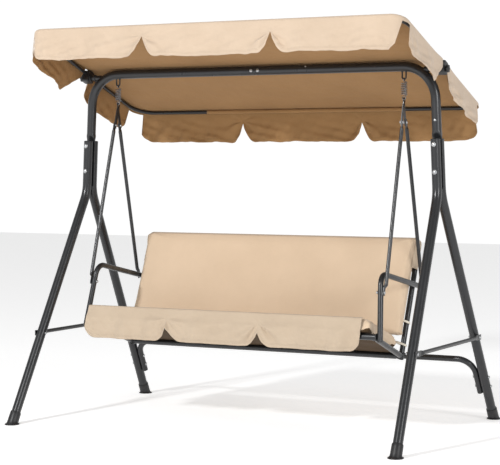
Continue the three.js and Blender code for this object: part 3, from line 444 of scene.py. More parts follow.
# ---------------------------------------------------------------- meshes
class Draft:
    """Points, faces and cloth coordinates of one piece while it is being made."""

    def __init__(self) -> None:
        """Starts empty."""
        self.points: list[Array] = []
        self.faces: list[list[int]] = []
        self.cloth: list[Array] = []
        self.parts: list[int] = []
        self.hem: list[Array] = []
        self.count = 0

    def surface(
        self,
        grid: Array,
        wrap: bool = False,
        caps: bool = False,
        cloth: Array | None = None,
        hem: Array | None = None,
        part: int = 0,
    ) -> "Draft":
        """Adds a grid of points as quads: row i, column j joins to row i + 1, column j + 1.

        Args:
            grid: rows x columns x 3 points.
            wrap: joins the last column to the first.
            caps: closes the first and the last row with one face each.
            cloth: rows x columns x 2 cloth coordinates in metres, one column more if wrapped.
            hem: rows x columns distances from the nearest stitched edge.
            part: number of the finish.

        Returns:
            This draft.
        """
        rows, columns = grid.shape[:2]
        spans = columns if wrap else columns - 1
        i, j = (a.ravel() for a in np.meshgrid(np.arange(rows - 1), np.arange(spans), indexing="ij"))
        k = (j + 1) % columns
        quads = np.stack([i * columns + j, i * columns + k, (i + 1) * columns + k, (i + 1) * columns + j], 1)
        self.faces += (quads + self.count).tolist()
        if cloth is None:
            self.cloth.append(np.zeros((len(quads) * 4, 2)))
        else:
            corners = [cloth[i, j], cloth[i, j + 1], cloth[i + 1, j + 1], cloth[i + 1, j]]
            self.cloth.append(np.stack(corners, 1).reshape(-1, 2))
        self.parts += [part] * len(quads)
        if caps:
            ends = [list(range(columns))[::-1], list(range((rows - 1) * columns, rows * columns))]
            self.faces += [[n + self.count for n in end] for end in ends]
            self.cloth.append(np.zeros((2 * columns, 2)))
            self.parts += [part, part]
        self.points.append(grid.reshape(-1, 3))
        self.hem.append(np.full(rows * columns, 1.0) if hem is None else hem.ravel())
        self.count += rows * columns
        return self

    def build(
        self, name: str, finishes: list[Finish], sharp: float = 34.0, closed: bool = True
    ) -> bpy.types.Object:
        """Makes the object.

        Args:
            name: its name.
            finishes: one for each part number.
            sharp: edges that turn by more than this many degrees stay sharp.
            closed: whether it is a closed solid, whose faces are then turned outwards.

        Returns:
            The object, at the origin.
        """
        mesh = bpy.data.meshes.new(name)
        mesh.from_pydata(np.concatenate(self.points), [], self.faces)
        layer = mesh.uv_layers.new(name="cloth")
        layer.data.foreach_set("uv", np.concatenate(self.cloth).astype(np.float32).ravel())
        hem = mesh.attributes.new("hem", "FLOAT", "POINT")
        hem.data.foreach_set("value", np.concatenate(self.hem).astype(np.float32))
        mesh.polygons.foreach_set("material_index", self.parts)
        mesh.polygons.foreach_set("use_smooth", [True] * len(self.faces))
        for finish in finishes:
            mesh.materials.append(finish.material())
        if closed:
            turn_outwards(mesh)
        mesh.set_sharp_from_angle(angle=math.radians(sharp))
        made = bpy.data.objects.new(name, mesh)
        bpy.context.scene.collection.objects.link(made)
        return made


def turn_outwards(mesh: bpy.types.Mesh) -> None:
    """Turns every face of closed shells outwards.

    Args:
        mesh: the mesh to change.
    """
    work = bmesh.new()
    work.from_mesh(mesh)
    bmesh.ops.recalc_face_normals(work, faces=work.faces)
    work.to_mesh(mesh)
    work.free()


def dress(piece: bpy.types.Object, body: Body, slot: str, *nodes: str) -> bpy.types.Object:
    """Puts a piece on its body and hides the nodes that it stands for.

    Args:
        piece: the piece, in place.
        body: the body that it rides on.
        slot: not used.
        nodes: the nodes that it replaces.

    Returns:
        The piece.
    """
    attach(piece, body.value)
    if nodes:
        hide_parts(*nodes)
    LOG.info("%s rides on %s", piece.name, body.value)
    return piece


def unit(v: Array) -> Array:
    """Each vector of an array at length 1."""
    return v / np.maximum(np.linalg.norm(v, axis=-1, keepdims=True), 1e-12)


def smoothstep(t: Array) -> Array:
    """Rises from 0 to 1 with level ends: 3t^2 - 2t^3 of the clamped t."""
    t = np.clip(t, 0.0, 1.0)
    return t * t * (3.0 - 2.0 * t)


def ring_angles(count: int) -> Array:
    """Evenly spaced angles of a full turn."""
    return np.linspace(0.0, 2 * math.pi, count, endpoint=False)


def squared(angle: Array, power: float | Array) -> tuple[Array, Array]:
    """Unit superellipse: sign(cos a) |cos a|^p and sign(sin a) |sin a|^p."""
    cosine, sine = np.cos(angle), np.sin(angle)
    return np.sign(cosine) * np.abs(cosine) ** power, np.sign(sine) * np.abs(sine) ** power


def leaned(local: Array, lean: float, origin: tuple[float, float]) -> Array:
    """Turns points about X and moves them: y' = y0 + y cos + z sin, z' = z0 - y sin + z cos.

    Args:
        local: the points, in the last axis.
        lean: the angle.
        origin: the place y0, z0 of the local origin.

    Returns:
        The points in the world.
    """
    c, s = math.cos(lean), math.sin(lean)
    x, y, z = local[..., 0], local[..., 1], local[..., 2]
    return np.stack([x, origin[0] + y * c + z * s, origin[1] - y * s + z * c], -1)


def node_box(node: str) -> tuple[Array, Array]:
    """Lowest and highest corner of a frame node."""
    low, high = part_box(node)
    return np.array(low), np.array(high)


def add_plug(
    draft: Draft, tip: Array, inner: Array, radius: float, outline: list[list[float]], sides: int
) -> None:
    """Adds a moulded plug in a tube's open end, as the piece's second finish."""
    profile = np.array(outline) * [radius, 1.0]
    draft.surface(lathe(profile, tip, tip - inner, sides), wrap=True, caps=True, part=1)


def bent_path(corners: list[Array], radius: float, step: float = 0.02, arc_steps: int = 14) -> Array:
    """Straight runs joined by circular arcs: p = centre - inward r cos(a) + into r sin(a).

    Args:
        corners: the corner points, ends included.
        radius: bend radius.
        step: longest distance between stations on a straight run.
        arc_steps: stations of a bend.

    Returns:
        The stations, one row each.
    """
    legs: list[Array] = [np.asarray(corners[0], float)[None]]
    for before, corner, after in zip(corners, corners[1:], corners[2:]):
        into, out = unit(corner - before), unit(after - corner)
        turn = math.acos(float(np.clip(into @ out, -1.0, 1.0)))
        start = corner - into * radius * math.tan(turn / 2)
        inward = unit(out - into * (into @ out))
        angle = np.linspace(0.0, turn, arc_steps)[:, None]
        arc = start + inward * radius * (1 - np.cos(angle)) + into * radius * np.sin(angle)
        legs += [straight(legs[-1][-1], arc[0], step)[1:-1], arc]
    legs.append(straight(legs[-1][-1], np.asarray(corners[-1], float), step)[1:])
    return np.concatenate(legs)


def straight(start: Array, end: Array, step: float) -> Array:
    """Evenly spaced points from one point to another."""
    count = max(2, int(math.ceil(np.linalg.norm(end - start) / step)) + 1)
    return start + (end - start) * np.linspace(0.0, 1.0, count)[:, None]


def travelled(path: Array) -> Array:
    """Distance along a path at each of its points."""
    return np.concatenate([[0.0], np.cumsum(np.linalg.norm(np.diff(path, axis=0), axis=1))])


@dataclass(frozen=True)
class Press:
    """A pressed tube end: flat length, taper length, thickness, width and how far its flat is off centre."""

    flat: float
    taper: float
    thickness: float
    width: float
    shift: float = 0.0

    def share(self, back: Array) -> Array:
        """How flat the tube is at a distance back from its end, 1 to 0."""
        return smoothstep((self.flat + self.taper - back) / self.taper)


def section_rings(
    path: Array, half_side: Array, half_thin: Array, power: Array, thin: Array, sides: int
) -> Array:
    """Superellipse rings square to a path: (a |cos|^(2/p), b |sin|^(2/p)), with b along the thin direction.

    Args:
        path: the stations.
        half_side: half-width square to the thin direction, for each station.
        half_thin: half-width along the thin direction.
        power: the superellipse's power, 2 where the tube is round.
        thin: a direction near the thin one, or one for each station.
        sides: points of a ring.

    Returns:
        stations x sides x 3 points.
    """
    tangent = unit(np.gradient(path, axis=0))
    thin = np.broadcast_to(thin, path.shape)
    thin_axis = unit(thin - tangent * (tangent * thin).sum(-1, keepdims=True))
    side_axis = np.cross(tangent, thin_axis)
    angle = ring_angles(sides)
    bend = (2.0 / power)[:, None]
    along_side, along_thin = squared(angle, bend)
    a, b = half_side[:, None] * along_side, half_thin[:, None] * along_thin
    return path[:, None] + side_axis[:, None] * a[..., None] + thin_axis[:, None] * b[..., None]


@dataclass
class Tube:
    """A bent round tube, with its ends open, pressed flat or rounded over."""

    corners: list[Array]
    diameter: float
    bend: float = 0.05
    thin: tuple[float, float, float] = (0.0, 1.0, 0.0)
    start: Press | None = None
    end: Press | None = None
    wall: float = 0.0015
    sides: int = 36
    step: float = 0.02

    def rings(self) -> Array:
        """The tube's rings: round, and turning to a thin superellipse over each pressed end.

        Returns:
            stations x sides x 3 points.
        """
        path = bent_path(self.corners, self.bend, self.step)
        marks = self.marks(path)
        along = travelled(path)
        if len(marks):
            wanted = np.unique(np.concatenate([along, marks]).round(6))
            path = np.stack([np.interp(wanted, along, path[:, n]) for n in range(3)], 1)
            along = wanted
        thin = np.array(self.thin, float)
        radius = self.diameter / 2
        side, flat, power = (np.full(len(path), v) for v in (radius, radius, 2.0))
        for press, back in ((self.start, along), (self.end, along[-1] - along)):
            if press:
                share = press.share(back)
                side += (press.width / 2 - radius) * share
                flat += (press.thickness / 2 - radius) * share
                power += 5.0 * share
                path = path + thin * (press.shift * share)[:, None]
        return section_rings(path, side, flat, power, thin, self.sides)

    def marks(self, path: Array) -> Array:
        """Extra stations over the pressed ends' tapers.

        Args:
            path: the stations so far.

        Returns:
            Distances along the path.
        """
        length = travelled(path)[-1]
        found = [np.array([])]
        if self.start:
            found.append(np.linspace(self.start.flat * 0.9, self.start.flat + self.start.taper, 14))
        if self.end:
            found.append(length - np.linspace(self.end.flat * 0.9, self.end.flat + self.end.taper, 14))
        return np.concatenate(found)

    def add_to(self, draft: Draft, part: int = 0) -> Draft:
        """Adds the tube: pressed ends are closed, and round ends show their wall and a short bore.

        Args:
            draft: the piece being made.
            part: number of its finish.

        Returns:
            The draft.
        """
        rings = self.rings()
        middle = rings.mean(1, keepdims=True)
        lead, tail = [], []
        if not self.start:
            lead = open_mouth(rings, middle, 0, self.diameter, self.wall)
        if not self.end:
            tail = open_mouth(rings, middle, -1, self.diameter, self.wall)[::-1]
        lead, tail = (np.array(end).reshape(-1, self.sides, 3) for end in (lead, tail))
        grid = np.concatenate([lead, rings, tail])
        return draft.surface(grid, wrap=True, caps=True, part=part)


def open_mouth(rings: Array, middle: Array, at: int, diameter: float, wall: float) -> list[Array]:
    """Inner rings of an open tube end, from the bottom of its bore to its mouth.

    Args:
        rings: the tube's outer rings.
        middle: their centres.
        at: which end, 0 or -1.
        diameter: outer diameter.
        wall: wall thickness.

    Returns:
        Two rings.
    """
    next_one = 1 if at == 0 else -2
    inward = unit(middle[next_one] - middle[at]) * diameter * 0.6
    inner = middle[at] + (rings[at] - middle[at]) * (1 - 2 * wall / diameter)
    return [inner + inward, inner]


def lathe(profile: Array, centre: Array, axis: Array, sides: int = 32, lobes: Array | None = None) -> Array:
    """Carries a profile of (radius, height) pairs round an axis.

    Args:
        profile: the outline, one row for each ring.
        centre: the point at height 0.
        axis: the direction of height.
        sides: points of a ring.
        lobes: factor on the radius for each point of a ring.

    Returns:
        rings x sides x 3 points.
    """
    axis = unit(np.asarray(axis, float))
    seed = UP if abs(axis[2]) < 0.9 else ALONG_X
    u = unit(np.cross(axis, seed))
    v = np.cross(axis, u)
    angle = ring_angles(sides)
    round_ = np.cos(angle)[:, None] * u + np.sin(angle)[:, None] * v
    if lobes is not None:
        round_ = round_ * lobes[:, None]
    return np.asarray(centre) + profile[:, None, :1] * round_ + profile[:, None, 1:] * axis


def hexagon(across: float, count: int = 36) -> Array:
    """Radius of a hexagon over the circle inside it, at each angle: 1 / cos of the angle from its flat."""
    angle = ring_angles(count)
    return across / np.cos((angle + math.pi / 6) % (math.pi / 3) - math.pi / 6)


def ripple(a: Array, b: Array, seed: int, wave: float, count: int = 7) -> Array:
    """Smooth unevenness: a sum of sines with seeded directions, wavelengths and phases, from about -1 to 1.

    Args:
        a: first coordinate, in metres.
        b: second coordinate.
        seed: number that fixes the pattern.
        wave: middle wavelength.
        count: number of sines.

    Returns:
        The unevenness at each point.
    """
    draw = np.random.default_rng(seed)
    total = np.zeros(np.broadcast(a, b).shape)
    waves = zip(draw.uniform(0, math.pi, count), draw.uniform(0.6, 1.7, count), draw.uniform(0, 6.3, count))
    for turn, size, phase in waves:
        reach = (a * math.cos(turn) + b * math.sin(turn)) * 2 * math.pi / (wave * size)
        total = total + np.sin(reach + phase)
    return total / math.sqrt(count) * 0.7


# ---------------------------------------------------------------- fasteners
@dataclass(frozen=True)
class BoltSize:
    """Shank radius, head radius and height, nut radius across flats and height, and the tail past the nut."""

    shank: float
    head: float
    head_height: float
    nut: float
    nut_height: float
    tail: float


M8 = BoltSize(0.004, 0.008, 0.005, 0.0065, 0.006, 0.002)
M6 = BoltSize(0.003, 0.006, 0.004, 0.005, 0.005, 0.0015)


def bolt_between(draft: Draft, size: BoltSize, head_seat: Array, nut_seat: Array) -> Draft:
    """A dome-headed bolt, a washer under its head and a hexagon nut with its thread end.

    Args:
        draft: the piece being made.
        size: the bolt's sizes.
        head_seat: where the head bears.
        nut_seat: where the nut bears.

    Returns:
        The draft.
    """
    axis = unit(nut_seat - head_seat)
    grip = float(np.linalg.norm(nut_seat - head_seat))
    rise = np.linspace(0.0, math.pi / 2, 8)
    dome = np.stack([size.head * np.sin(rise), -0.001 - (size.head_height - 0.001) * np.cos(rise)], 1)
    washer = [[size.head * 1.12, -0.001], [size.head * 1.12, 0.0], [size.shank, 0.0], [size.shank, grip]]
    dome[0, 0] = size.head * 0.04
    draft.surface(lathe(np.vstack([dome, washer]), head_seat, axis), wrap=True, caps=True)
    top = grip + size.nut_height
    nut = np.array([[0.86, 0.0], [1.0, 0.0006], [1.0, size.nut_height - 0.0006], [0.86, size.nut_height]])
    nut[:, 1] += grip
    flats = hexagon(size.nut)
    draft.surface(lathe(nut, head_seat, axis, 36, flats), wrap=True, caps=True)
    pitch = 0.0011
    turns = np.arange(top, top + size.tail, pitch / 4)
    groove = size.shank * (0.97 + 0.03 * np.cos((turns - top) / pitch * 2 * math.pi))
    thread = np.stack([groove, turns], 1)
    return draft.surface(lathe(thread, head_seat, axis, 20), wrap=True, caps=True)


def bolt_for(node: str, size: BoltSize, head: Array, body: Body) -> bpy.types.Object:
    """A detailed bolt where a plain one is, on the same seats.

    Args:
        node: the plain bolt's node.
        size: the bolt's sizes.
        head: direction from the nut to the head, along X or Y.
        body: the body that it rides on.

    Returns:
        The bolt.
    """
    low, high = node_box(node)
    middle, half = (low + high) / 2, (high - low) / 2
    reach = abs(float(half @ head))
    head_seat = middle + head * (reach - size.head_height)
    nut_seat = middle - head * (reach - size.nut_height - size.tail)
    piece = bolt_between(Draft(), size, head_seat, nut_seat).build(f"{node}_fitted", [ZINC])
    return dress(piece, body, node, node)


def weld_bead(draft: Draft, centre: Array, axis: Array, radius: float, bead: float, seed: int) -> Draft:
    """A run of weld round a tube: a torus whose bead swells and thins like overlapping drops.

    Args:
        draft: the piece being made.
        centre: middle of the ring.
        axis: direction square to the ring.
        radius: radius of the ring.
        bead: radius of the bead.
        seed: number that fixes its unevenness.

    Returns:
        The draft.
    """
    axis = unit(axis)
    u = unit(np.cross(axis, UP if abs(axis[2]) < 0.9 else ALONG_X))
    v = np.cross(axis, u)
    angle = ring_angles(72)
    out = np.cos(angle)[:, None] * u + np.sin(angle)[:, None] * v
    drops = bead * (1 + 0.16 * np.abs(np.sin(angle * 12 + seed)) + 0.08 * ripple(angle, angle, seed, 2.0))
    around = ring_angles(10)
    grid = centre + out[:, None] * radius + drops[:, None, None] * (
        np.cos(around)[:, None] * out[:, None] + np.sin(around)[:, None] * axis
    )
    closed = np.concatenate([grid, grid[:1]])
    return draft.surface(closed, wrap=True)


# ---------------------------------------------------------------- stand
@dataclass
class Stand:
    """The A-frame: a two-part beam with its posts, four legs, ties, feet and their fasteners."""

    beam_height: float = 1.445
    top_half_width: float = 0.787
    foot_half_width: float = 0.849
    foot_half_depth: float = 0.525
    tube: float = 0.038
    corner: float = 0.135
    joint_x: float = 0.007
    tongue_foot: float = 0.968
    tongue: Press = Press(0.192, 0.035, 0.003, 0.040)
    leg_offset: float = 0.0208
    leg_top: float = 1.160
    leg_bend: float = 0.942
    leg_bend_radius: float = 0.150
    leg_foot: float = 0.010
    brace_height: float = 0.360
    brace_tube: float = 0.016
    brace_end: Press = Press(0.047, 0.025, 0.003, 0.022)
    stretcher_tube: float = 0.025
    stretcher_height: float = 0.260
    stretcher_foot: float = 0.118
    stretcher_bend: float = 0.070
    hook_rod: float = 0.006
    hook_half_width: float = 0.008
    hook_x: float = 0.6598
    hook_floor: float = 1.396
    hub_x: float = 0.797
    hub_height: float = 1.433

    def half_width(self, height: float) -> float:
        """Half-width of the leaning side frames at a height."""
        spread = self.foot_half_width - self.top_half_width
        return self.top_half_width + spread * (1 - height / self.beam_height)

    def on_side(self, side: Side, y: float, height: float) -> Array:
        """The point of a side frame's middle plane at a depth and a height."""
        return np.array([side.sign * self.half_width(height), y, height])

    def leg_depth(self, height: float) -> float:
        """Distance of a leg's centre line from the middle at a height below its bend."""
        return self.leg_offset + (self.foot_half_depth - self.leg_offset) * (1 - height / self.leg_bend)

    def build(self) -> None:
        """Builds and dresses every piece of the stand."""
        for side in Side:
            self.build_beam(side)
            self.build_hook(side)
            self.build_brace(side)
            for end in End:
                self.build_leg(side, end)
                self.build_foot(side, end)
        self.build_stretcher()
        self.build_bolts()
        self.build_post_screws()
        paint("beam_sleeve", ZINC)

    def build_beam(self, side: Side) -> None:
        """Half of the beam with its bent post, pressed tongue and the canopy's stub.

        Args:
            side: which half.
        """
        seam = np.array([self.joint_x + side.sign * GAP / 2, 0.0, self.beam_height])
        corners = [seam, self.on_side(side, 0.0, self.beam_height), self.on_side(side, 0.0, self.tongue_foot)]
        draft = Draft()
        Tube(corners, self.tube, self.corner, end=self.tongue, sides=48, step=0.03).add_to(draft)
        root = np.array([side.sign * 0.745, 0.0, self.hub_height])
        outwards = ALONG_X * side.sign
        reach = self.hub_x - 0.745
        stub = [[0.011, 0.0], [0.011, reach - 0.006], [0.0175, reach - 0.005], [0.018, reach - 0.004]]
        stub += [[0.018, reach - 0.001], [0.0172, reach], [0.0044, reach], [0.0044, reach - 0.03]]
        draft.surface(lathe(np.array(stub), root, outwards, 40), wrap=True, caps=True)
        weld_bead(draft, np.array([side.sign * 0.7745, 0.0, self.hub_height]), outwards, 0.0112, 0.0026, 3)
        piece = draft.build(f"beam_{side.label}_fitted", [POWDER])
        dress(piece, Body.STAND, f"beam_{side.label}", f"beam_{side.label}")

    def build_hook(self, side: Side) -> None:
        """Loop of rod welded under the beam, with a bead of weld at each leg.

        Args:
            side: which side.
        """
        top = self.beam_height - self.tube / 2 + 0.0008
        x = side.sign * self.hook_x
        across = self.hook_half_width
        ends = [(-across, top), (-across, self.hook_floor), (across, self.hook_floor), (across, top)]
        corners = [np.array([x + dx, 0.0, z]) for dx, z in ends]
        draft = Draft()
        Tube(corners, self.hook_rod, across - 0.0001, sides=20, wall=0.0029, step=0.01).add_to(draft)
        for dx in (-across, across):
            weld_bead(draft, np.array([x + dx, 0.0, top - 0.001]), UP, self.hook_rod / 2 + 0.0003, 0.0019, 5)
        piece = draft.build(f"hook_{side.label}_welded", [POWDER])
        dress(piece, Body.STAND, f"hook_{side.label}", f"hook_{side.label}")

    def leg_corners(self, side: Side, end: End) -> list[Array]:
        """Corner points of a leg: its top, its bend and its foot.

        Args:
            side: which side.
            end: front or rear.

        Returns:
            The three points.
        """
        depths = (self.leg_offset, self.leg_offset, self.leg_depth(self.leg_foot))
        heights = (self.leg_top, self.leg_bend, self.leg_foot)
        return [self.on_side(side, end.sign * y, z) for y, z in zip(depths, heights)]

    def build_leg(self, side: Side, end: End) -> None:
        """A bent leg, with a moulded plug in its open top.

        Args:
            side: which side.
            end: front or rear.
        """
        name = f"leg_{end.label}_{side.label}"
        corners = self.leg_corners(side, end)
        draft = Draft()
        tube = Tube(corners, self.tube, self.leg_bend_radius, thin=(1.0, 0.0, 0.0), sides=48, step=0.04)
        tube.add_to(draft)
        plug = [[0.3, -0.006], [0.9, -0.006], [0.9, 0.0], [0.985, 0.0]]
        plug += [[0.985, 0.0015], [0.8, 0.003], [0.4, 0.0036]]
        add_plug(draft, corners[0], corners[1], self.tube / 2, plug, 40)
        piece = draft.build(f"{name}_bent", [POWDER, PLASTIC])
        dress(piece, Body.STAND, name, name)

    def build_foot(self, side: Side, end: End) -> None:
        """Moulded cap: rings that start flat on the floor and turn square to the leg up its sleeve.

        Args:
            side: which side.
            end: front or rear.
        """
        base = self.on_side(side, end.sign * self.leg_depth(0.0), 0.0)
        above = self.on_side(side, end.sign * self.leg_depth(0.1), 0.1)
        along = unit(above - base)
        flange = [(0.0275, 0.0), (0.0296, 0.0), (0.0300, 0.0012), (0.0300, 0.0032), (0.0294, 0.0042)]
        sleeve = [(0.0262, 0.0052), (0.0236, 0.0080), (0.0228, 0.0130), (0.0225, 0.0240)]
        mouth = [(0.0224, 0.0350), (0.0222, 0.0455), (0.0212, 0.0480), (0.0194, 0.0478)]
        radius, height = np.array(flange + sleeve + mouth).T
        turn = smoothstep((height - 0.004) / 0.012)
        angle = ring_angles(48)
        flat = np.stack([np.cos(angle), np.sin(angle), np.zeros(48)], 1)
        square = flat - along * (flat @ along)[:, None]
        around = flat + (unit(square) - flat) * turn[:, None, None]
        grid = base + along * (height / along[2])[:, None, None] + around * radius[:, None, None]
        grid[..., 2] = np.maximum(grid[..., 2], 0.0)
        name = f"foot_{end.label}_{side.label}"
        piece = Draft().surface(grid, wrap=True, caps=True).build(f"{name}_moulded", [PLASTIC])
        dress(piece, Body.STAND, name, name)

    def build_brace(self, side: Side) -> None:
        """Thin tie between the legs, pressed flat where it is bolted to them.

        Args:
            side: which side.
        """
        name = f"side_brace_{side.label}"
        low, high = node_box(name)
        x = (low[0] + high[0]) / 2
        corners = [np.array([x, y, self.brace_height]) for y in (low[1], high[1])]
        ends = {"start": self.brace_end, "end": self.brace_end}
        draft = Tube(corners, self.brace_tube, thin=(1.0, 0.0, 0.0), **ends).add_to(Draft())
        dress(draft.build(f"{name}_pressed", [POWDER]), Body.STAND, name, name)

    def build_stretcher(self) -> None:
        """Rear tie with turned-down ends and a plug in each."""
        inset = self.tube / 2 + GAP + self.stretcher_tube / 2

        def point(side: Side, height: float) -> Array:
            """Its centre line beside a rear leg, at a height."""
            return np.array([side.sign * (self.half_width(height) - inset), self.leg_depth(height), height])

        left, right = Side.LEFT, Side.RIGHT
        corners = [point(left, self.stretcher_foot), point(left, self.stretcher_height)]
        corners += [point(right, self.stretcher_height), point(right, self.stretcher_foot)]
        draft = Draft()
        Tube(corners, self.stretcher_tube, self.stretcher_bend, step=0.04).add_to(draft)
        plug = [[0.3, -0.004], [0.99, -0.0002], [0.99, 0.0008], [0.8, 0.002], [0.3, 0.0026]]
        for tip, inner in ((corners[0], corners[1]), (corners[3], corners[2])):
            add_plug(draft, tip, inner, self.stretcher_tube / 2, plug, 32)
        piece = draft.build("rear_stretcher_bent", [POWDER, PLASTIC])
        dress(piece, Body.STAND, "rear_stretcher", "rear_stretcher")

    def build_bolts(self) -> None:
        """Fits a detailed bolt at each of the stand's joints."""
        for side in Side:
            outwards = ALONG_X * side.sign
            bolt_for(f"beam_bolt_{side.label}", M6, -ALONG_Y, Body.STAND)
            for level in ("upper", "lower"):
                bolt_for(f"leg_bolt_{level}_{side.label}", M8, -ALONG_Y, Body.STAND)
            for end in End:
                bolt_for(f"brace_bolt_{end.label}_{side.label}", M6, outwards, Body.STAND)
            for number in (1, 2):
                bolt_for(f"stretcher_bolt_{number}_{side.label}", M6, -outwards, Body.STAND)

    def build_post_screws(self) -> None:
        """Two small pan-head screws: one high in the right post and one in the beam's upper front."""
        places = {"post_screw": (self.on_side(Side.RIGHT, 0.0, 1.235), -ALONG_Y, 0.0055)}
        upward = unit(np.array([0.0, -1.0, 0.75]))
        places["beam_screw"] = (np.array([0.238, 0.0, self.beam_height]), upward, 0.0038)
        for name, (centre, axis, radius) in places.items():
            rise = np.linspace(0.0, math.pi / 2, 7)
            dome = np.stack([radius * np.cos(rise), radius * 0.55 * np.sin(rise)], 1)
            dome[-1, 0] = radius * 0.05
            profile = np.vstack([[[radius * 0.5, -0.003], [radius, -0.002]], dome])
            head = lathe(profile, centre + axis * self.tube / 2, axis, 24)
            piece = Draft().surface(head, wrap=True, caps=True).build(name, [ZINC])
            dress(piece, Body.STAND, "beam_bolt_right")


# ---------------------------------------------------------------- springs
@dataclass
class Suspension:
    """The two coil springs, which stretch between the swing's hooks and the bench's yokes."""

    wire: float = 0.0034
    radius: float = 0.0115
    turns: int = 7
    loop: float = 0.0065
    length: float = 0.074
    rod: float = 0.006
    x: float = 0.6598
    top: float = 1.396

    def build(self) -> None:
        """Builds both springs and hides the nodes that they stand for."""
        for side in Side:
            path, thin = self.path()
            path = path + np.array([side.sign * self.x, 0.0, self.top])
            ones = np.ones(len(path))
            rings = section_rings(path, ones * self.wire / 2, ones * self.wire / 2, ones * 2.0, thin, 14)
            name = f"spring_{side.label}"
            draft = Draft().surface(rings, wrap=True, caps=True)
            piece = draft.build(f"{name}_wound", [SPRING_STEEL], sharp=60.0)
            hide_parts(name)
            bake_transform(piece)
            LOG.info("%s stretches from springs to bench", piece.name)

    def path(self) -> tuple[Array, Array]:
        """Wire line: a loop over the rod, a close helix, and a loop a quarter turn on under the yoke's eye.

        Returns:
            The stations, and a direction near each station's section axis.
        """
        centre = self.rod / 2 + 2 * GAP + self.wire / 2 - self.loop
        angle = np.radians(np.linspace(-40.0, 262.0, 46))
        zero = np.zeros_like(angle)
        upper = np.stack([zero, self.loop * np.cos(angle), centre + self.loop * np.sin(angle)], 1)
        coil_top = centre - self.loop - self.wire * 1.5
        turn = np.linspace(0.0, self.turns * 2 * math.pi, self.turns * 30)
        height = np.linspace(coil_top, -self.length - coil_top, len(turn))
        start = math.radians(45.0)
        coil = np.stack([self.radius * np.cos(start + turn), self.radius * np.sin(start + turn), height], 1)
        lower = np.stack([upper[:, 1], upper[:, 0], -self.length - upper[:, 2]], 1)[::-1]
        lead_in = self.lead(upper, coil)
        lead_out = self.lead(coil, lower)
        path = np.concatenate([upper, lead_in, coil, lead_out, lower])
        parts = [(upper, ALONG_X), (lead_in, None), (coil, UP), (lead_out, None), (lower, ALONG_Y)]
        return path, self.section_axes(parts)

    def lead(self, before: Array, after: Array) -> Array:
        """Cubic from the end of one run to the start of the next, along both runs' directions.

        Args:
            before: the run that it leaves.
            after: the run that it meets.

        Returns:
            Its inner stations.
        """
        a, b = before[-1], after[0]
        reach = np.linalg.norm(b - a) * 1.1
        da, db = unit(before[-1] - before[-2]) * reach, unit(after[1] - after[0]) * reach
        t = np.linspace(0.0, 1.0, 14)[1:-1, None]
        blend_a, blend_b = 2 * t**3 - 3 * t**2 + 1, -2 * t**3 + 3 * t**2
        return blend_a * a + (t**3 - 2 * t**2 + t) * da + blend_b * b + (t**3 - t**2) * db

    def section_axes(self, parts: list[tuple[Array, Array | None]]) -> Array:
        """Section axes of the runs, turning evenly over each lead from one run's axis to the next.

        Args:
            parts: each run's stations with its axis, or none for a lead.

        Returns:
            One direction for each station.
        """
        made = []
        for number, (run, axis) in enumerate(parts):
            if axis is None:
                t = np.linspace(0.0, 1.0, len(run))[:, None]
                made.append(unit(parts[number - 1][1] * (1 - t) + parts[number + 1][1] * t))
            else:
                made.append(np.broadcast_to(axis, run.shape))
        return np.concatenate(made)


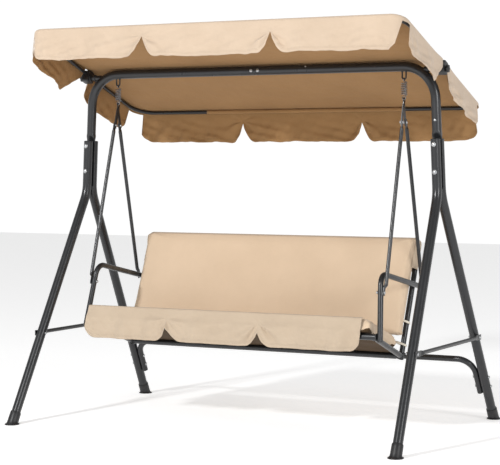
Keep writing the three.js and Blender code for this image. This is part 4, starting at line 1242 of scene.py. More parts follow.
# ---------------------------------------------------------------- bench frame
@dataclass
class BenchFrame:
    """The bench's tubes: hangers, armrests, back frame, seat tubes and rails, with fasteners and ties."""

    back_half_width: float = 0.628
    back_tube: float = 0.022
    back_foot: tuple[float, float] = (0.050, 0.288)
    back_top: tuple[float, float] = (0.239, 0.742)
    back_corner: float = 0.060
    back_bolt: float = 0.575
    arm_tube: float = 0.022
    arm_foot: Point = (0.668, -0.250, 0.388)
    arm_knee: Point = (0.645, -0.190, 0.646)
    arm_bend: float = 0.048
    arm_overhang: float = 0.016
    arm_bolt: float = 0.573
    hanger_tube: float = 0.015
    hanger_apex: tuple[float, float] = (-0.004, 1.300)
    hanger_top: float = 1.228
    hanger_end: Press = Press(0.028, 0.016, 0.003, 0.019)
    hanger_overhang: float = 0.011
    seat_front: tuple[float, float] = (-0.246, 0.405)
    seat_front_tube: float = 0.025
    rail_tube: float = 0.022
    rail_front_half_width: float = 0.640
    seat_rear_height: float = 0.300
    tie_heights: tuple[float, ...] = (0.345, 0.432)

    def upright_depth(self, height: float) -> float:
        """Y of the back's uprights at a height."""
        (y0, z0), (y1, z1) = self.back_foot, self.back_top
        return y0 + (y1 - y0) * (height - z0) / (z1 - z0)

    def build(self) -> None:
        """Builds and dresses every piece of the bench's frame."""
        for side in Side:
            self.build_armrest(side)
            self.build_rail(side)
            for end in End:
                self.build_hanger(side, end)
            self.build_bolts(side)
            self.build_ties(side)
            paint(f"yoke_{side.label}", POWDER)
        self.build_back()
        self.build_cross_tubes()

    def build_hanger(self, side: Side, end: End) -> None:
        """Hanger tube, its lower flat flush with the tube's inner side.

        Args:
            side: which side.
            end: front or rear.
        """
        name = f"hanger_{end.label}_{side.label}"
        low, high = node_box(name)
        foot_height = self.arm_bolt if end is End.FRONT else self.back_bolt
        foot_y = self.arm_point(side, foot_height)[1] if end is End.FRONT else self.upright_depth(foot_height)
        apex_y, apex_z = self.hanger_apex
        share = (self.hanger_top - apex_z) / (foot_height - apex_z)
        head = np.array([side.sign * 0.6631, apex_y + (foot_y - apex_y) * share, self.hanger_top])
        outer = high[0] if side is Side.RIGHT else low[0]
        foot = np.array([outer - side.sign * self.hanger_tube / 2, foot_y, foot_height])
        along = unit(foot - head)
        shift = -side.sign * (self.hanger_tube - self.hanger_end.thickness) / 2
        lower = replace(self.hanger_end, shift=shift)
        corners = [head - along * self.hanger_overhang, foot + along * self.hanger_overhang]
        ends = {"start": self.hanger_end, "end": lower}
        tube = Tube(corners, self.hanger_tube, thin=(1.0, 0.0, 0.0), sides=32, **ends)
        dress(tube.add_to(Draft()).build(f"{name}_pressed", [POWDER]), Body.BENCH, name, name)

    def arm_point(self, side: Side, height: float) -> Array:
        """Point of an armrest's post at a height.

        Args:
            side: which side.
            height: the height.

        Returns:
            The point.
        """
        foot, knee = np.array(self.arm_foot), np.array(self.arm_knee)
        point = foot + (knee - foot) * (height - foot[2]) / (knee[2] - foot[2])
        return point * [side.sign, 1.0, 1.0]

    def build_armrest(self, side: Side) -> None:
        """Armrest: post, knee and arm in one bent tube, with moulded plugs in both ends.

        Args:
            side: which side.
        """
        mirror = np.array([side.sign, 1.0, 1.0])
        foot, knee = np.array(self.arm_foot) * mirror, np.array(self.arm_knee) * mirror
        rear_x = self.back_half_width + self.back_tube / 2 + GAP + self.arm_tube / 2
        hole = np.array([side.sign * rear_x, self.upright_depth(self.back_bolt), self.back_bolt])
        rear = hole + unit(hole - knee) * self.arm_overhang
        draft = Draft()
        Tube([foot, knee, rear], self.arm_tube, self.arm_bend, thin=(1.0, 0.0, 0.0), sides=40).add_to(draft)
        plug = [[0.3, -0.004], [0.99, -0.0002], [0.99, 0.001], [0.8, 0.0026], [0.3, 0.0034]]
        for tip in (foot, rear):
            add_plug(draft, tip, knee, self.arm_tube / 2, plug, 32)
        name = f"armrest_{side.label}"
        dress(draft.build(f"{name}_bent", [POWDER, PLASTIC]), Body.BENCH, name, name)

    def build_back(self) -> None:
        """Inverted U of tube: both uprights and the top rail."""
        (y0, z0), (y1, z1) = self.back_foot, self.back_top
        x = self.back_half_width
        corners = [np.array(p) for p in ((-x, y0, z0), (-x, y1, z1), (x, y1, z1), (x, y0, z0))]
        tube = Tube(corners, self.back_tube, self.back_corner, sides=40, step=0.03)
        dress(tube.add_to(Draft()).build("back_frame_bent", [POWDER]), Body.BENCH, "back_frame", "back_frame")

    def build_cross_tubes(self) -> None:
        """Front and rear tubes of the seat, each with a bead of weld at its ends."""
        rear = (self.upright_depth(self.seat_rear_height), self.seat_rear_height)
        for name, (y, z), diameter in (
            ("seat_front_tube", self.seat_front, self.seat_front_tube),
            ("seat_rear_tube", rear, self.back_tube),
        ):
            low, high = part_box(name)
            corners = [np.array([x, y, z]) for x in (low[0], high[0])]
            draft = Tube(corners, diameter, thin=(0.0, 0.0, 1.0), sides=40, step=0.05).add_to(Draft())
            for x in (low[0] + 0.001, high[0] - 0.001):
                weld_bead(draft, np.array([x, y, z]), ALONG_X, diameter / 2, 0.0022, 11)
            dress(draft.build(f"{name}_welded", [POWDER]), Body.BENCH, name, name)

    def build_rail(self, side: Side) -> None:
        """Side rail from the front tube to the upright, with a bead of weld at each end.

        Args:
            side: which side.
        """
        name = f"seat_rail_{side.label}"
        front = np.array([side.sign * self.rail_front_half_width, *self.seat_front])
        rear_y = self.upright_depth(self.seat_rear_height)
        rear = np.array([side.sign * self.back_half_width, rear_y, self.seat_rear_height])
        along = unit(rear - front)
        corners = [front + along * 0.0122, rear - along * 0.0108]
        draft = Tube(corners, self.rail_tube, thin=(1.0, 0.0, 0.0), sides=32).add_to(Draft())
        for tip in corners:
            weld_bead(draft, tip, along, self.rail_tube / 2, 0.0023, 17)
        dress(draft.build(f"{name}_welded", [POWDER]), Body.BENCH, name, name)

    def build_bolts(self, side: Side) -> None:
        """Fits the bolts of one side, and the two that only show.

        Args:
            side: which side.
        """
        outwards = ALONG_X * side.sign
        for end in End:
            bolt_for(f"arm_bolt_{end.label}_{side.label}", M6, outwards, Body.BENCH)
        node = f"yoke_bolt_rear_{side.label}"
        bolt_for(node, M6, outwards, Body.BENCH)
        low, high = node_box(node)
        middle, half = (low + high) / 2, (high - low) / 2
        apex_y, apex_z = self.hanger_apex
        front_y = self.arm_point(side, self.arm_bolt)[1]
        middle[1] = apex_y + (front_y - apex_y) * (self.hanger_top - apex_z) / (self.arm_bolt - apex_z)
        head_seat = middle + outwards * (half[0] - M6.head_height)
        nut_seat = middle - outwards * (half[0] - M6.nut_height - M6.tail)
        piece = bolt_between(Draft(), M6, head_seat, nut_seat).build(f"yoke_bolt_front_{side.label}", [ZINC])
        dress(piece, Body.BENCH, node)

    def build_ties(self, side: Side) -> None:
        """Elastic loops round the upright: flat ribbon along an ellipse that reaches in to the pad's corner.

        Args:
            side: which side.
        """
        axis = unit(np.array([0.0, *(top - foot for top, foot in zip(self.back_top, self.back_foot))]))
        forward = np.cross(ALONG_X, axis)
        forward = forward * -np.sign(forward[1])
        draft = Draft()
        for height in self.tie_heights:
            post = np.array([side.sign * self.back_half_width, self.upright_depth(height), height])
            centre = post + forward * 0.007 - ALONG_X * side.sign * 0.007
            long_way = unit(forward - ALONG_X * side.sign)
            short_way = np.cross(long_way, axis)
            angle = np.linspace(0.0, 2 * math.pi, 64)[:, None]
            path = centre + long_way * 0.0245 * np.cos(angle) + short_way * 0.0150 * np.sin(angle)
            path = path + axis * 0.004 * np.sin(angle + 0.7)
            outward = unit(long_way * np.cos(angle) / 0.0245 + short_way * np.sin(angle) / 0.0150)
            ones = np.ones(len(path))
            rings = section_rings(path, ones * 0.0045, ones * 0.0007, ones * 4.0, outward, 12)
            draft.surface(rings[:, ::-1], wrap=True)
        dress(draft.build(f"pad_ties_{side.label}", [ELASTIC]), Body.BENCH, "back_pad")


def paint(node: str, finish: Finish) -> None:
    """Gives a frame node a finish in all its slots.

    Args:
        node: the node's name.
        finish: its finish.
    """
    target = FRAME["nodes"][node]
    material = finish.material()
    if not target.material_slots:
        target.data.materials.append(material)
    for slot in target.material_slots:
        slot.material = material


# ---------------------------------------------------------------- cloth helpers
def flat_area(cloth: Array) -> float:
    """Area of a grid of cloth coordinates: the sum of its quads' shoelace areas.

    Args:
        cloth: rows x columns x 2 coordinates in metres.

    Returns:
        The area in square metres.
    """
    first = cloth[1:, 1:] - cloth[:-1, :-1]
    second = cloth[1:, :-1] - cloth[:-1, 1:]
    return float(np.abs(first[..., 0] * second[..., 1] - first[..., 1] * second[..., 0]).sum() / 2)


def lobe_drop(
    q: Array, start: float, end: float, notches: tuple[float, ...], drop: float, rise: float
) -> Array:
    """Drop of a valance: full along its lobes, round at its ends and cut up by a bell at each notch.

    Args:
        q: positions along it.
        start: its first end.
        end: its last end.
        notches: middle of each notch.
        drop: drop of the lobes.
        rise: height of the notches.

    Returns:
        The drop at each position, and zero outside.
    """
    corner = 0.046
    inside = np.clip(np.minimum(q - start, end - q), 0.0, corner)
    depth = drop - corner + np.sqrt(corner**2 - (corner - inside) ** 2)
    for notch in notches:
        t = np.clip(np.abs(q - notch) / 0.060, 0.0, 1.0)
        depth = np.minimum(depth, drop - rise * (1 - t) ** 2.1)
    return np.where((q >= start) & (q <= end), depth, 0.0)


def star_creases(q: Array, depth: Array, notch: float, apex: float, seed: int) -> Array:
    """Creases that spread from a notch's apex: sum of sin(k angle + phase), fading over 0.13 m.

    Args:
        q: positions along the valance.
        depth: depths down it.
        notch: position of the notch.
        apex: depth of its apex.
        seed: number that fixes the pattern.

    Returns:
        The unevenness, from about -1 to 1.
    """
    draw = np.random.default_rng(seed)
    away = np.hypot(q - notch, depth - apex)
    angle = np.arctan2(depth - apex, q - notch)
    total = np.zeros(np.broadcast(q, depth).shape)
    for turns, phase in zip((5.0, 9.0, 13.0), draw.uniform(0, 6.3, 3)):
        total = total + np.sin(turns * angle + phase) * 5.0 / turns
    return total * 0.5 * smoothstep(away / 0.04) * np.exp(-((away / 0.13) ** 2))


def thicken(piece: bpy.types.Object, thickness: float, backing: int = 0) -> None:
    """Gives a sheet its thickness to both sides of its surface.

    Args:
        piece: the sheet.
        thickness: in metres.
        backing: how many slots further on the finish of its back is.
    """
    solid = piece.modifiers.new("thickness", "SOLIDIFY")
    solid.thickness = thickness
    solid.offset = 0.0
    solid.material_offset = backing
    solid.use_even_offset = False


# ---------------------------------------------------------------- pads
PUFF_FRAMES = 20
PUFF_LIMIT = 0.007
SEAM_INSET = 0.004
SEAM_DEPTH = 0.0016
SEAM_WIDTH = 0.005


@dataclass
class Cushion:
    """A padded cushion in a leaning frame of its own: a rounded slab, puffed up as cloth."""

    name: str
    origin: tuple[float, float]
    lean: float
    centre: Point
    half: Point
    voxel: float
    rest: int
    rest_at: float
    # Painted shade: whether the cushion's downward faces get the dark cloth.
    painted_shade_below: bool = False

    def to_world(self, local: Array) -> Array:
        """Turns local points by the cushion's lean and moves them to its place."""
        return leaned(local, self.lean, self.origin)

    def slab(self) -> Array:
        """Superellipsoid-like slab: rounded sections that shrink steeply towards both ends.

        Returns:
            stations x sides x 3 local points.
        """
        turn = np.linspace(-math.pi / 2, math.pi / 2, 120)[1:-1]
        along = np.sign(turn) * np.abs(np.sin(turn)) ** 0.35
        share = (1 - np.abs(along) ** 26) ** (1 / 4)
        angle = ring_angles(160)
        y, z = squared(angle, 0.28)
        hx, hy, hz = self.half
        inset = min(hy, hz)
        fy = hy - inset * (1 - share)
        fz = hz - inset * (1 - share)
        x = np.broadcast_to(along[:, None] * hx, (len(along), len(angle)))
        grid = np.stack([x, fy[:, None] * y, fz[:, None] * z], -1)
        return grid + np.array(self.centre)

    def build(self) -> bpy.types.Object:
        """Makes the cushion: remeshed slab, cloth pressure, seams pulled in, one subdivision.

        Returns:
            The cushion.
        """
        # The first slot is the lightened pad cloth, painted light; the second holds the dark painted-shade
        # cloth.
        piece = Draft().surface(self.slab(), wrap=True, caps=True).build(
            f"{self.name}_cushion", [PAD_CLOTH_PAINTED_LIGHT, PAD_PAINTED_SHADE])
        remesh = piece.modifiers.new("remesh", "REMESH")
        remesh.mode, remesh.voxel_size = "VOXEL", self.voxel
        bake(piece)
        self.puff(piece)
        self.pull_seams(piece)
        smooth = piece.modifiers.new("smooth", "SUBSURF")
        smooth.levels = smooth.render_levels = 1
        bake(piece)
        self.map_cloth(piece)
        dress(piece, Body.BENCH, self.name, self.name)
        return piece

    def puff(self, piece: bpy.types.Object) -> None:
        """Runs the cloth with air inside for twenty frames, and keeps at most 7 mm of its movement.

        Args:
            piece: the remeshed cushion.
        """
        before = read_points(piece.data)
        cloth = piece.modifiers.new("cloth", "CLOTH")
        cloth.settings.quality = 4
        cloth.settings.mass = 0.3
        cloth.settings.tension_stiffness = cloth.settings.compression_stiffness = 12.0
        cloth.settings.bending_stiffness = 0.4
        cloth.settings.shrink_min = -0.035
        cloth.settings.use_pressure = True
        cloth.settings.uniform_pressure_force = 4.0
        cloth.settings.effector_weights.gravity = 0.0
        cloth.point_cache.frame_start, cloth.point_cache.frame_end = 1, PUFF_FRAMES
        for frame in range(1, PUFF_FRAMES + 1):
            bpy.context.scene.frame_set(frame)
        bake(piece)
        bpy.context.scene.frame_set(1)
        moved = read_points(piece.data) - before
        length = np.linalg.norm(moved, axis=1, keepdims=True)
        local = before + moved * np.minimum(1.0, PUFF_LIMIT / np.maximum(length, 1e-9))
        if self.rest > 0:
            local[:, self.rest] = np.minimum(local[:, self.rest], self.rest_at)
        else:
            local[:, -self.rest] = np.maximum(local[:, -self.rest], self.rest_at)
        write_points(piece.data, local)
        LOG.info("%s puffed up by %.1f mm at most", piece.name, 1000 * float(length.max()))

    def seam_distance(self, local: Array) -> Array:
        """Distance from the sewn line that runs round just inside the face's rim.

        Args:
            local: local points.

        Returns:
            The distances.
        """
        off = np.abs(local - np.array(self.centre))
        thin = int(np.argmin(self.half))
        wide = 3 - thin
        rim = np.minimum(self.half[0] - off[:, 0], self.half[wide] - off[:, wide])
        return np.abs(rim - SEAM_INSET)

    def pull_seams(self, piece: bpy.types.Object) -> None:
        """Draws the cloth in along the seams: 1.6 mm exp(-(d / 5 mm)^2) along its normal.

        Args:
            piece: the cushion.
        """
        local = read_points(piece.data)
        normals = np.zeros(len(local) * 3, np.float32)
        piece.data.vertex_normals.foreach_get("vector", normals)
        depth = SEAM_DEPTH * np.exp(-((self.seam_distance(local) / SEAM_WIDTH) ** 2))
        write_points(piece.data, local - normals.reshape(-1, 3) * depth[:, None])

    def map_cloth(self, piece: bpy.types.Object) -> None:
        """Sets cloth coordinates by the nearest face of the slab, and moves the points to the world.

        Args:
            piece: the cushion.
        """
        mesh = piece.data
        local = read_points(mesh)
        thin = int(np.argmin(self.half))
        loops = np.zeros(len(mesh.loops), np.int32)
        mesh.loops.foreach_get("vertex_index", loops)
        layer = mesh.uv_layers.get("cloth") or mesh.uv_layers.new(name="cloth")
        layer.data.foreach_set("uv", local[loops][:, [0, 3 - thin]].astype(np.float32).ravel())
        hem = mesh.attributes.get("hem") or mesh.attributes.new("hem", "FLOAT", "POINT")
        hem.data.foreach_set("value", self.seam_distance(local).astype(np.float32))
        # Painted shade: faces that look down take the dark cloth in the second slot.
        if self.painted_shade_below:
            normals = np.zeros(len(mesh.polygons) * 3, np.float32)
            mesh.polygons.foreach_get("normal", normals)
            mesh.polygons.foreach_set("material_index", (normals[2::3] < -0.4).astype(np.int32))
        write_points(mesh, self.to_world(local))
        mesh.polygons.foreach_set("use_smooth", [True] * len(mesh.polygons))


def read_points(mesh: bpy.types.Mesh) -> Array:
    """The mesh's points, one row each.

    Args:
        mesh: the mesh.

    Returns:
        The points.
    """
    flat = np.zeros(len(mesh.vertices) * 3, np.float64)
    mesh.vertices.foreach_get("co", flat)
    return flat.reshape(-1, 3)


def write_points(mesh: bpy.types.Mesh, points: Array) -> None:
    """Puts new places into the mesh's points."""
    mesh.vertices.foreach_set("co", points.ravel())
    mesh.update()


def bake(piece: bpy.types.Object) -> None:
    """Replaces the mesh with what its modifiers make of it.

    Args:
        piece: the object.
    """
    graph = bpy.context.evaluated_depsgraph_get()
    made = bpy.data.meshes.new_from_object(piece.evaluated_get(graph))
    piece.modifiers.clear()
    piece.data = made


@dataclass
class Hood:
    """Pocket at the back cushion's top that slips over the bench's back frame."""

    cushion: Cushion
    half_width: float = 0.6418
    front: float = -0.036
    rear: float = 0.0150
    foot: float = 0.374
    top: float = 0.5065

    def build(self) -> bpy.types.Object:
        """Makes the pocket: racetrack rings that rise, then round over and close along the rail.

        Returns:
            The sheet.
        """
        depth = (self.rear - self.front) / 2
        middle = (self.rear + self.front) / 2
        rise = np.linspace(0.0, math.pi / 2, 9)[:-1]
        body = np.linspace(self.foot, self.top - depth, 26)[:-1]
        heights = np.concatenate([body, self.top - depth + depth * np.sin(rise), [self.top]])
        shares = np.concatenate([np.ones(25), np.sqrt(np.cos(rise)), [0.04]])
        run = np.linspace(-1.0, 1.0, 140)
        bend = np.linspace(-math.pi / 2, math.pi / 2, 23)[1:-1]
        x = np.concatenate([run * (self.half_width - depth), self.half_width - depth + depth * np.cos(bend)])
        x = np.concatenate([x, -x])
        y = np.concatenate([np.full(140, -1.0), np.sin(bend)])
        y = np.concatenate([y, -y])
        rounding = np.abs(x) - (self.half_width - depth)
        fall = np.where(rounding > 0, 1 - np.sqrt(np.clip(1 - (rounding / depth) ** 2, 0, 1)), 0.0) * 0.018
        share = shares[:, None]
        z = heights[:, None] - fall * smoothstep((heights[:, None] - self.top + 0.12) / 0.12)
        folds = 0.0016 * ripple(np.broadcast_to(x, z.shape), z, 31, 0.10) * smoothstep((0.47 - z) / 0.05)
        across = middle + y * depth * share + np.abs(folds) * (y > 0.5)
        side = np.broadcast_to(x, z.shape) - np.sign(x) * (1 - share) * 0.004
        grid = self.cushion.to_world(np.stack([side, across, z], -1))
        ring = np.append(x, x[0])
        cloth = np.stack([np.broadcast_to(ring, (len(z), len(ring))), np.append(z, z[:, :1], 1)], -1)
        hem = np.broadcast_to(heights[:, None] - self.foot, z.shape)
        # The pocket wears the flap's darker cloth, painted shade.
        piece = Draft().surface(grid, wrap=True, cloth=cloth, hem=hem).build(
            "back_pad_hood", [SKIRT_CLOTH_PAINTED_SHADE], closed=False)
        thicken(piece, 0.0012)
        dress(piece, Body.BENCH, "back_pad")
        return piece


@dataclass
class SeatDeck:
    """Cloth stretched between the seat's front and rear tubes, under the seat cushion, in the dark cloth that
    paints shade there.
    """

    cushion: Cushion
    half_width: float = 0.606
    front_rise: float = 0.0133
    wrap: float = 0.0119
    length: float = 0.3188
    sag: float = 0.004

    def build(self) -> bpy.types.Object:
        """Makes the cloth: sag * sin(pi t) from the front tube to the rear one, and an arc round that.

        Returns:
            The sheet.
        """
        t = np.linspace(0.0, 1.0, 40)
        rise = self.front_rise + (self.wrap - self.front_rise) * t - self.sag * np.sin(math.pi * t)
        turn = np.radians(np.linspace(85.0, -75.0, 24))
        y = np.concatenate([t * self.length, self.length + self.wrap * np.cos(turn)])
        z = np.concatenate([rise, self.wrap * np.sin(turn)])
        x = np.linspace(-self.half_width, self.half_width, 160)
        line = np.stack([np.zeros(len(y)), y, z], 1)
        down = np.broadcast_to(travelled(line)[:, None], (len(y), len(x)))
        across = np.broadcast_to(x, down.shape)
        middle = np.sin(math.pi * np.clip(y / self.length, 0, 1))[:, None]
        height = z[:, None] - 0.0012 * (1 + ripple(across, down, 41, 0.12)) * np.maximum(middle, 0) ** 0.5
        grid = self.cushion.to_world(np.stack([across, np.broadcast_to(y[:, None], down.shape), height], -1))
        cloth = np.stack([across, down], -1)
        piece = Draft().surface(grid, cloth=cloth).build("seat_deck", [PAD_PAINTED_SHADE], closed=False)
        thicken(piece, 0.0008)
        dress(piece, Body.BENCH, "seat_pad")
        return piece


@dataclass
class Skirt:
    """The seat cushion's front flap: over its top edge, down its front and hanging in three lobes."""

    left: float = -0.640
    right: float = 0.600
    notches: tuple[float, ...] = (-0.255, 0.160)
    drop: float = 0.142
    rise: float = 0.056
    thickness: float = 0.0012

    def columns(self) -> Array:
        """Positions along X, closer together by the notches and at both ends.

        Returns:
            The positions.
        """
        dense = [self.left, *self.notches, self.right]
        fine = [np.linspace(n - 0.05, n + 0.05, 41) for n in dense]
        every = np.concatenate([np.arange(self.left, self.right, 0.010), *fine])
        every = np.unique(np.clip(every, self.left, self.right).round(5))
        return every[np.concatenate([[True], np.diff(every) > 0.0008])]

    def build(self) -> bpy.types.Object:
        """Makes the flap: a line down from the cushion's edge, with folds that grow towards its hem.

        Returns:
            The sheet.
        """
        x = self.columns()
        reach = lobe_drop(x, self.left, self.right, self.notches, self.drop, self.rise)
        t = np.linspace(0.0, 1.0, 34)[:, None]
        s = t * reach
        bends = ((-0.2560, 0.4790), (-0.2660, 0.4785), (-0.2815, 0.4300), (-0.2815, 0.3300))
        line = bent_path([np.array([0.0, *bend]) for bend in bends], 0.006, 0.004)
        along = travelled(line)
        y, z = (np.interp(s, along, line[:, n]) for n in (1, 2))
        free = smoothstep((s - 0.020) / 0.09)
        folds = 0.0090 * ripple(np.broadcast_to(x, s.shape), s * 0.9, 11, 0.13) + 0.0045
        folds = folds + 0.0028 * ripple(np.broadcast_to(x, s.shape), s * 1.4, 5, 0.05)
        for notch in self.notches:
            near = np.exp(-(((x - notch) / 0.045) ** 2))
            folds = folds + 0.006 * near + 0.0160 * star_creases(x, s, notch, 0.05, int(300 + notch * 200))
        y = y - np.maximum(folds * free, -0.001 * free)
        curl = smoothstep((x - self.right + 0.09) / 0.09)
        y = y + 0.030 * curl * free - 0.010 * smoothstep((self.left + 0.08 - x) / 0.08) * free
        grid = np.stack([np.broadcast_to(x, s.shape) - 0.012 * curl * free, y, z], -1)
        cloth = np.stack([np.broadcast_to(x, s.shape), s], -1)
        draft = Draft().surface(grid, cloth=cloth, hem=reach - s)
        # Painted shade: the flap's front wears the darker copy of the cushion cloth and its back the dark
        # cloth.
        piece = draft.build("seat_pad_flap", [SKIRT_CLOTH_PAINTED_SHADE, PAD_PAINTED_SHADE], closed=False)
        face_towards(piece, -ALONG_Y)
        thicken(piece, self.thickness, 1)
        dress(piece, Body.BENCH, "seat_pad")
        return piece


def face_towards(piece: bpy.types.Object, direction: Array) -> None:
    """Turns an open sheet over if its faces mostly look the other way.

    Args:
        piece: the sheet.
        direction: the way that its faces should look.
    """
    total = sum((p.normal * p.area for p in piece.data.polygons), Vector())
    if total.dot(Vector(direction)) < 0:
        piece.data.flip_normals()


# ---------------------------------------------------------------- canopy
@dataclass
class Canopy:
    """The tilting roof: bars, clamps, star knobs, and one sheet of cloth with valances all round."""

    pivot: float = 1.433
    tilt: float = math.radians(21.0)
    half_width: float = 0.818
    half_depth: float = 0.440
    corner: float = 0.090
    cloth_corner: float = 0.048
    slit: float = 0.026
    bar: float = 0.015
    bar_rise: float = 0.017
    wrap: float = 0.0095
    thickness: float = 0.0012
    notches: tuple[float, ...] = (-0.285, 0.285)
    front_drop: float = 0.120
    rear_drop: float = 0.131
    rise: float = 0.082
    side_drop: float = 0.112
    side_tip: tuple[float, float] = (-0.130, 0.129)
    side_slot: float = 0.024
    knob_radius: float = 0.016
    sleeve_radius: float = 0.0084
    sleeve_ends: tuple[float, float] = (-0.455, 0.480)
    sleeve_turn: float = math.pi / 2 - 1.1
    across: int = 150
    along: int = 84
    down: int = 30

    def to_world(self, local: Array) -> Array:
        """Turns canopy points by its tilt and lifts them to its pivot."""
        return leaned(local, self.tilt, (0.0, self.pivot))

    def build(self) -> None:
        """Builds and dresses every piece of the canopy."""
        for side in Side:
            self.build_bar(side)
            self.build_clamp(side)
            self.build_knob(side)
        cover = self.build_cover()
        for end in End:
            self.build_pocket(end)

    def build_bar(self, side: Side) -> None:
        """Half of the bar frame: a C whose ends meet the other half's.

        Args:
            side: which half.
        """
        u, w = self.half_depth, self.bar_rise
        seam, outer = side.sign * GAP / 2, side.sign * self.half_width
        corners = [np.array(p) for p in ((seam, -u, w), (outer, -u, w), (outer, u, w), (seam, u, w))]
        rings = Tube(corners, self.bar, self.corner, thin=(0.0, 0.0, 1.0), sides=28, step=0.03).rings()
        piece = Draft().surface(self.to_world(rings), wrap=True, caps=True).build(
            f"canopy_frame_{side.label}_bent", [POWDER])
        dress(piece, Body.CANOPY, f"canopy_frame_{side.label}", f"canopy_frame_{side.label}")

    def build_clamp(self, side: Side) -> None:
        """Moulded clamp over the side bar: rounded block with a rib on its outer face.

        Args:
            side: which side.
        """
        name = f"canopy_clamp_{side.label}"
        low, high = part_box(name)
        inner, outer = (low[0], high[0]) if side is Side.RIGHT else (high[0], low[0])
        step = side.sign
        stations = [(inner, 0.90), (inner + step * 0.0012, 0.98), (inner + step * 0.003, 1.0)]
        stations += [(outer - step * 0.0035, 1.0), (outer - step * 0.0014, 0.975)]
        stations += [(outer - step * 0.0003, 0.91)]
        angle = ring_angles(72)
        y, z = squared(angle, 0.35)
        rings = [np.stack([np.full(72, x), 0.0229 * k * y, 0.005 + 0.0249 * k * z], -1) for x, k in stations]
        for x in (outer - step * 0.0003, inner + step * 0.0002):
            rings.append(np.stack([np.full(72, x), 0.0065 * np.cos(angle), 0.0065 * np.sin(angle)], -1))
        grid = self.to_world(np.array(rings + rings[:1]))
        piece = Draft().surface(grid, wrap=True).build(f"{name}_moulded", [PLASTIC])
        dress(piece, Body.CANOPY, name, name)

    def build_knob(self, side: Side) -> None:
        """Star knob on its screw: a lobed disc with a rounded rim, r = R (0.9 + 0.1 cos 6a), and a cap.

        Args:
            side: which side.
        """
        name = f"canopy_knob_{side.label}"
        low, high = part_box(name)
        outwards = ALONG_X * side.sign
        tip = high[0] if side is Side.RIGHT else -low[0]
        depth = float(high[0] - low[0])
        base = np.array([side.sign * (tip - 0.014), 0.0, self.pivot])
        angle = ring_angles(96)
        lobes = 0.90 + 0.10 * np.cos(6 * angle)
        r = self.knob_radius
        star = [[0.45 * r, 0.0], [0.62 * r, 0.0003], [0.66 * r, 0.0028], [0.93 * r, 0.0034], [r, 0.0048]]
        star += [[r, 0.0104], [0.95 * r, 0.0118], [0.84 * r, 0.0124], [0.56 * r, 0.0124]]
        star = np.array(star)
        draft = Draft().surface(lathe(star, base, outwards, 96, lobes), wrap=True, caps=True)
        cap = np.array([[0.56 * r, 0.0120], [0.54 * r, 0.0134], [0.44 * r, 0.0140], [0.1 * r, 0.0140]])
        draft.surface(lathe(cap, base, outwards, 40), wrap=True, caps=True)
        screw = np.array([[0.0026, -(depth - 0.0145)], [0.0036, -(depth - 0.0155)], [0.0036, 0.001]])
        draft.surface(lathe(screw, base, outwards, 20), wrap=True, caps=True, part=1)
        body = Body.KNOB_RIGHT if side is Side.RIGHT else Body.KNOB_LEFT
        dress(draft.build(f"{name}_moulded", [PLASTIC, ZINC]), body, name, name)

    def crown(self, u: Array) -> Array:
        """Rise of the roof: 1.5 mm (1 - (u/440 mm)^2) plus 7.2 mm exp(-(u/75 mm)^2) over the beam."""
        lift = 0.0015 * (1 - np.clip(np.abs(u) / self.half_depth, 0, 1) ** 2)
        return lift + 0.0072 * np.exp(-((u / 0.075) ** 2))

    def outline(self, a: Array, b: Array) -> tuple[Array, Array, Array, Array]:
        """Rounded rectangle of the bars, for points on the edge of a square.

        Args:
            a: -1 to 1 along X.
            b: -1 to 1 along the depth; one of |a|, |b| is 1.

        Returns:
            x, u, and the outward direction's two parts.
        """
        hw, hd, r = self.half_width, self.half_depth, self.cloth_corner
        x, u = a * hw, b * hd
        past_x, past_u = np.abs(x) - (hw - r), np.abs(u) - (hd - r)
        around = (past_x > 0) & (past_u > 0)
        on_end = np.abs(b) >= np.abs(a) * 0.999999
        turn = np.where(on_end & (np.abs(b) > 0.999999), past_x / (2 * r), 1.0 - past_u / (2 * r))
        turn = np.clip(turn, 0.0, 1.0) * math.pi / 2
        corner_x = np.sign(x) * (hw - r + r * np.sin(turn))
        corner_u = np.sign(u) * (hd - r + r * np.cos(turn))
        side = np.abs(a) > 0.999999
        nx = np.where(around, np.sign(x) * np.sin(turn), np.where(side, np.sign(x), 0.0))
        nu = np.where(around, np.sign(u) * np.cos(turn), np.where(side, 0.0, np.sign(u)))
        return np.where(around, corner_x, x), np.where(around, corner_u, u), nx, nu

    def stations(self, count: int, half: float, dense: tuple[float, ...]) -> Array:
        """Positions from -1 to 1, evenly spread and closer together near some places.

        Args:
            count: about how many.
            half: metres for 1.
            dense: places in metres.

        Returns:
            The positions.
        """
        even = np.linspace(-1.0, 1.0, count)
        fine = [np.linspace(d - 0.045, d + 0.045, 31) / half for d in dense]
        every = np.unique(np.concatenate([even, *fine]).round(6))
        every = every[(every >= -1) & (every <= 1)]
        keep = np.concatenate([[True], np.diff(every) > 0.0016 / half])
        every = every[keep]
        every[-1] = 1.0
        return every

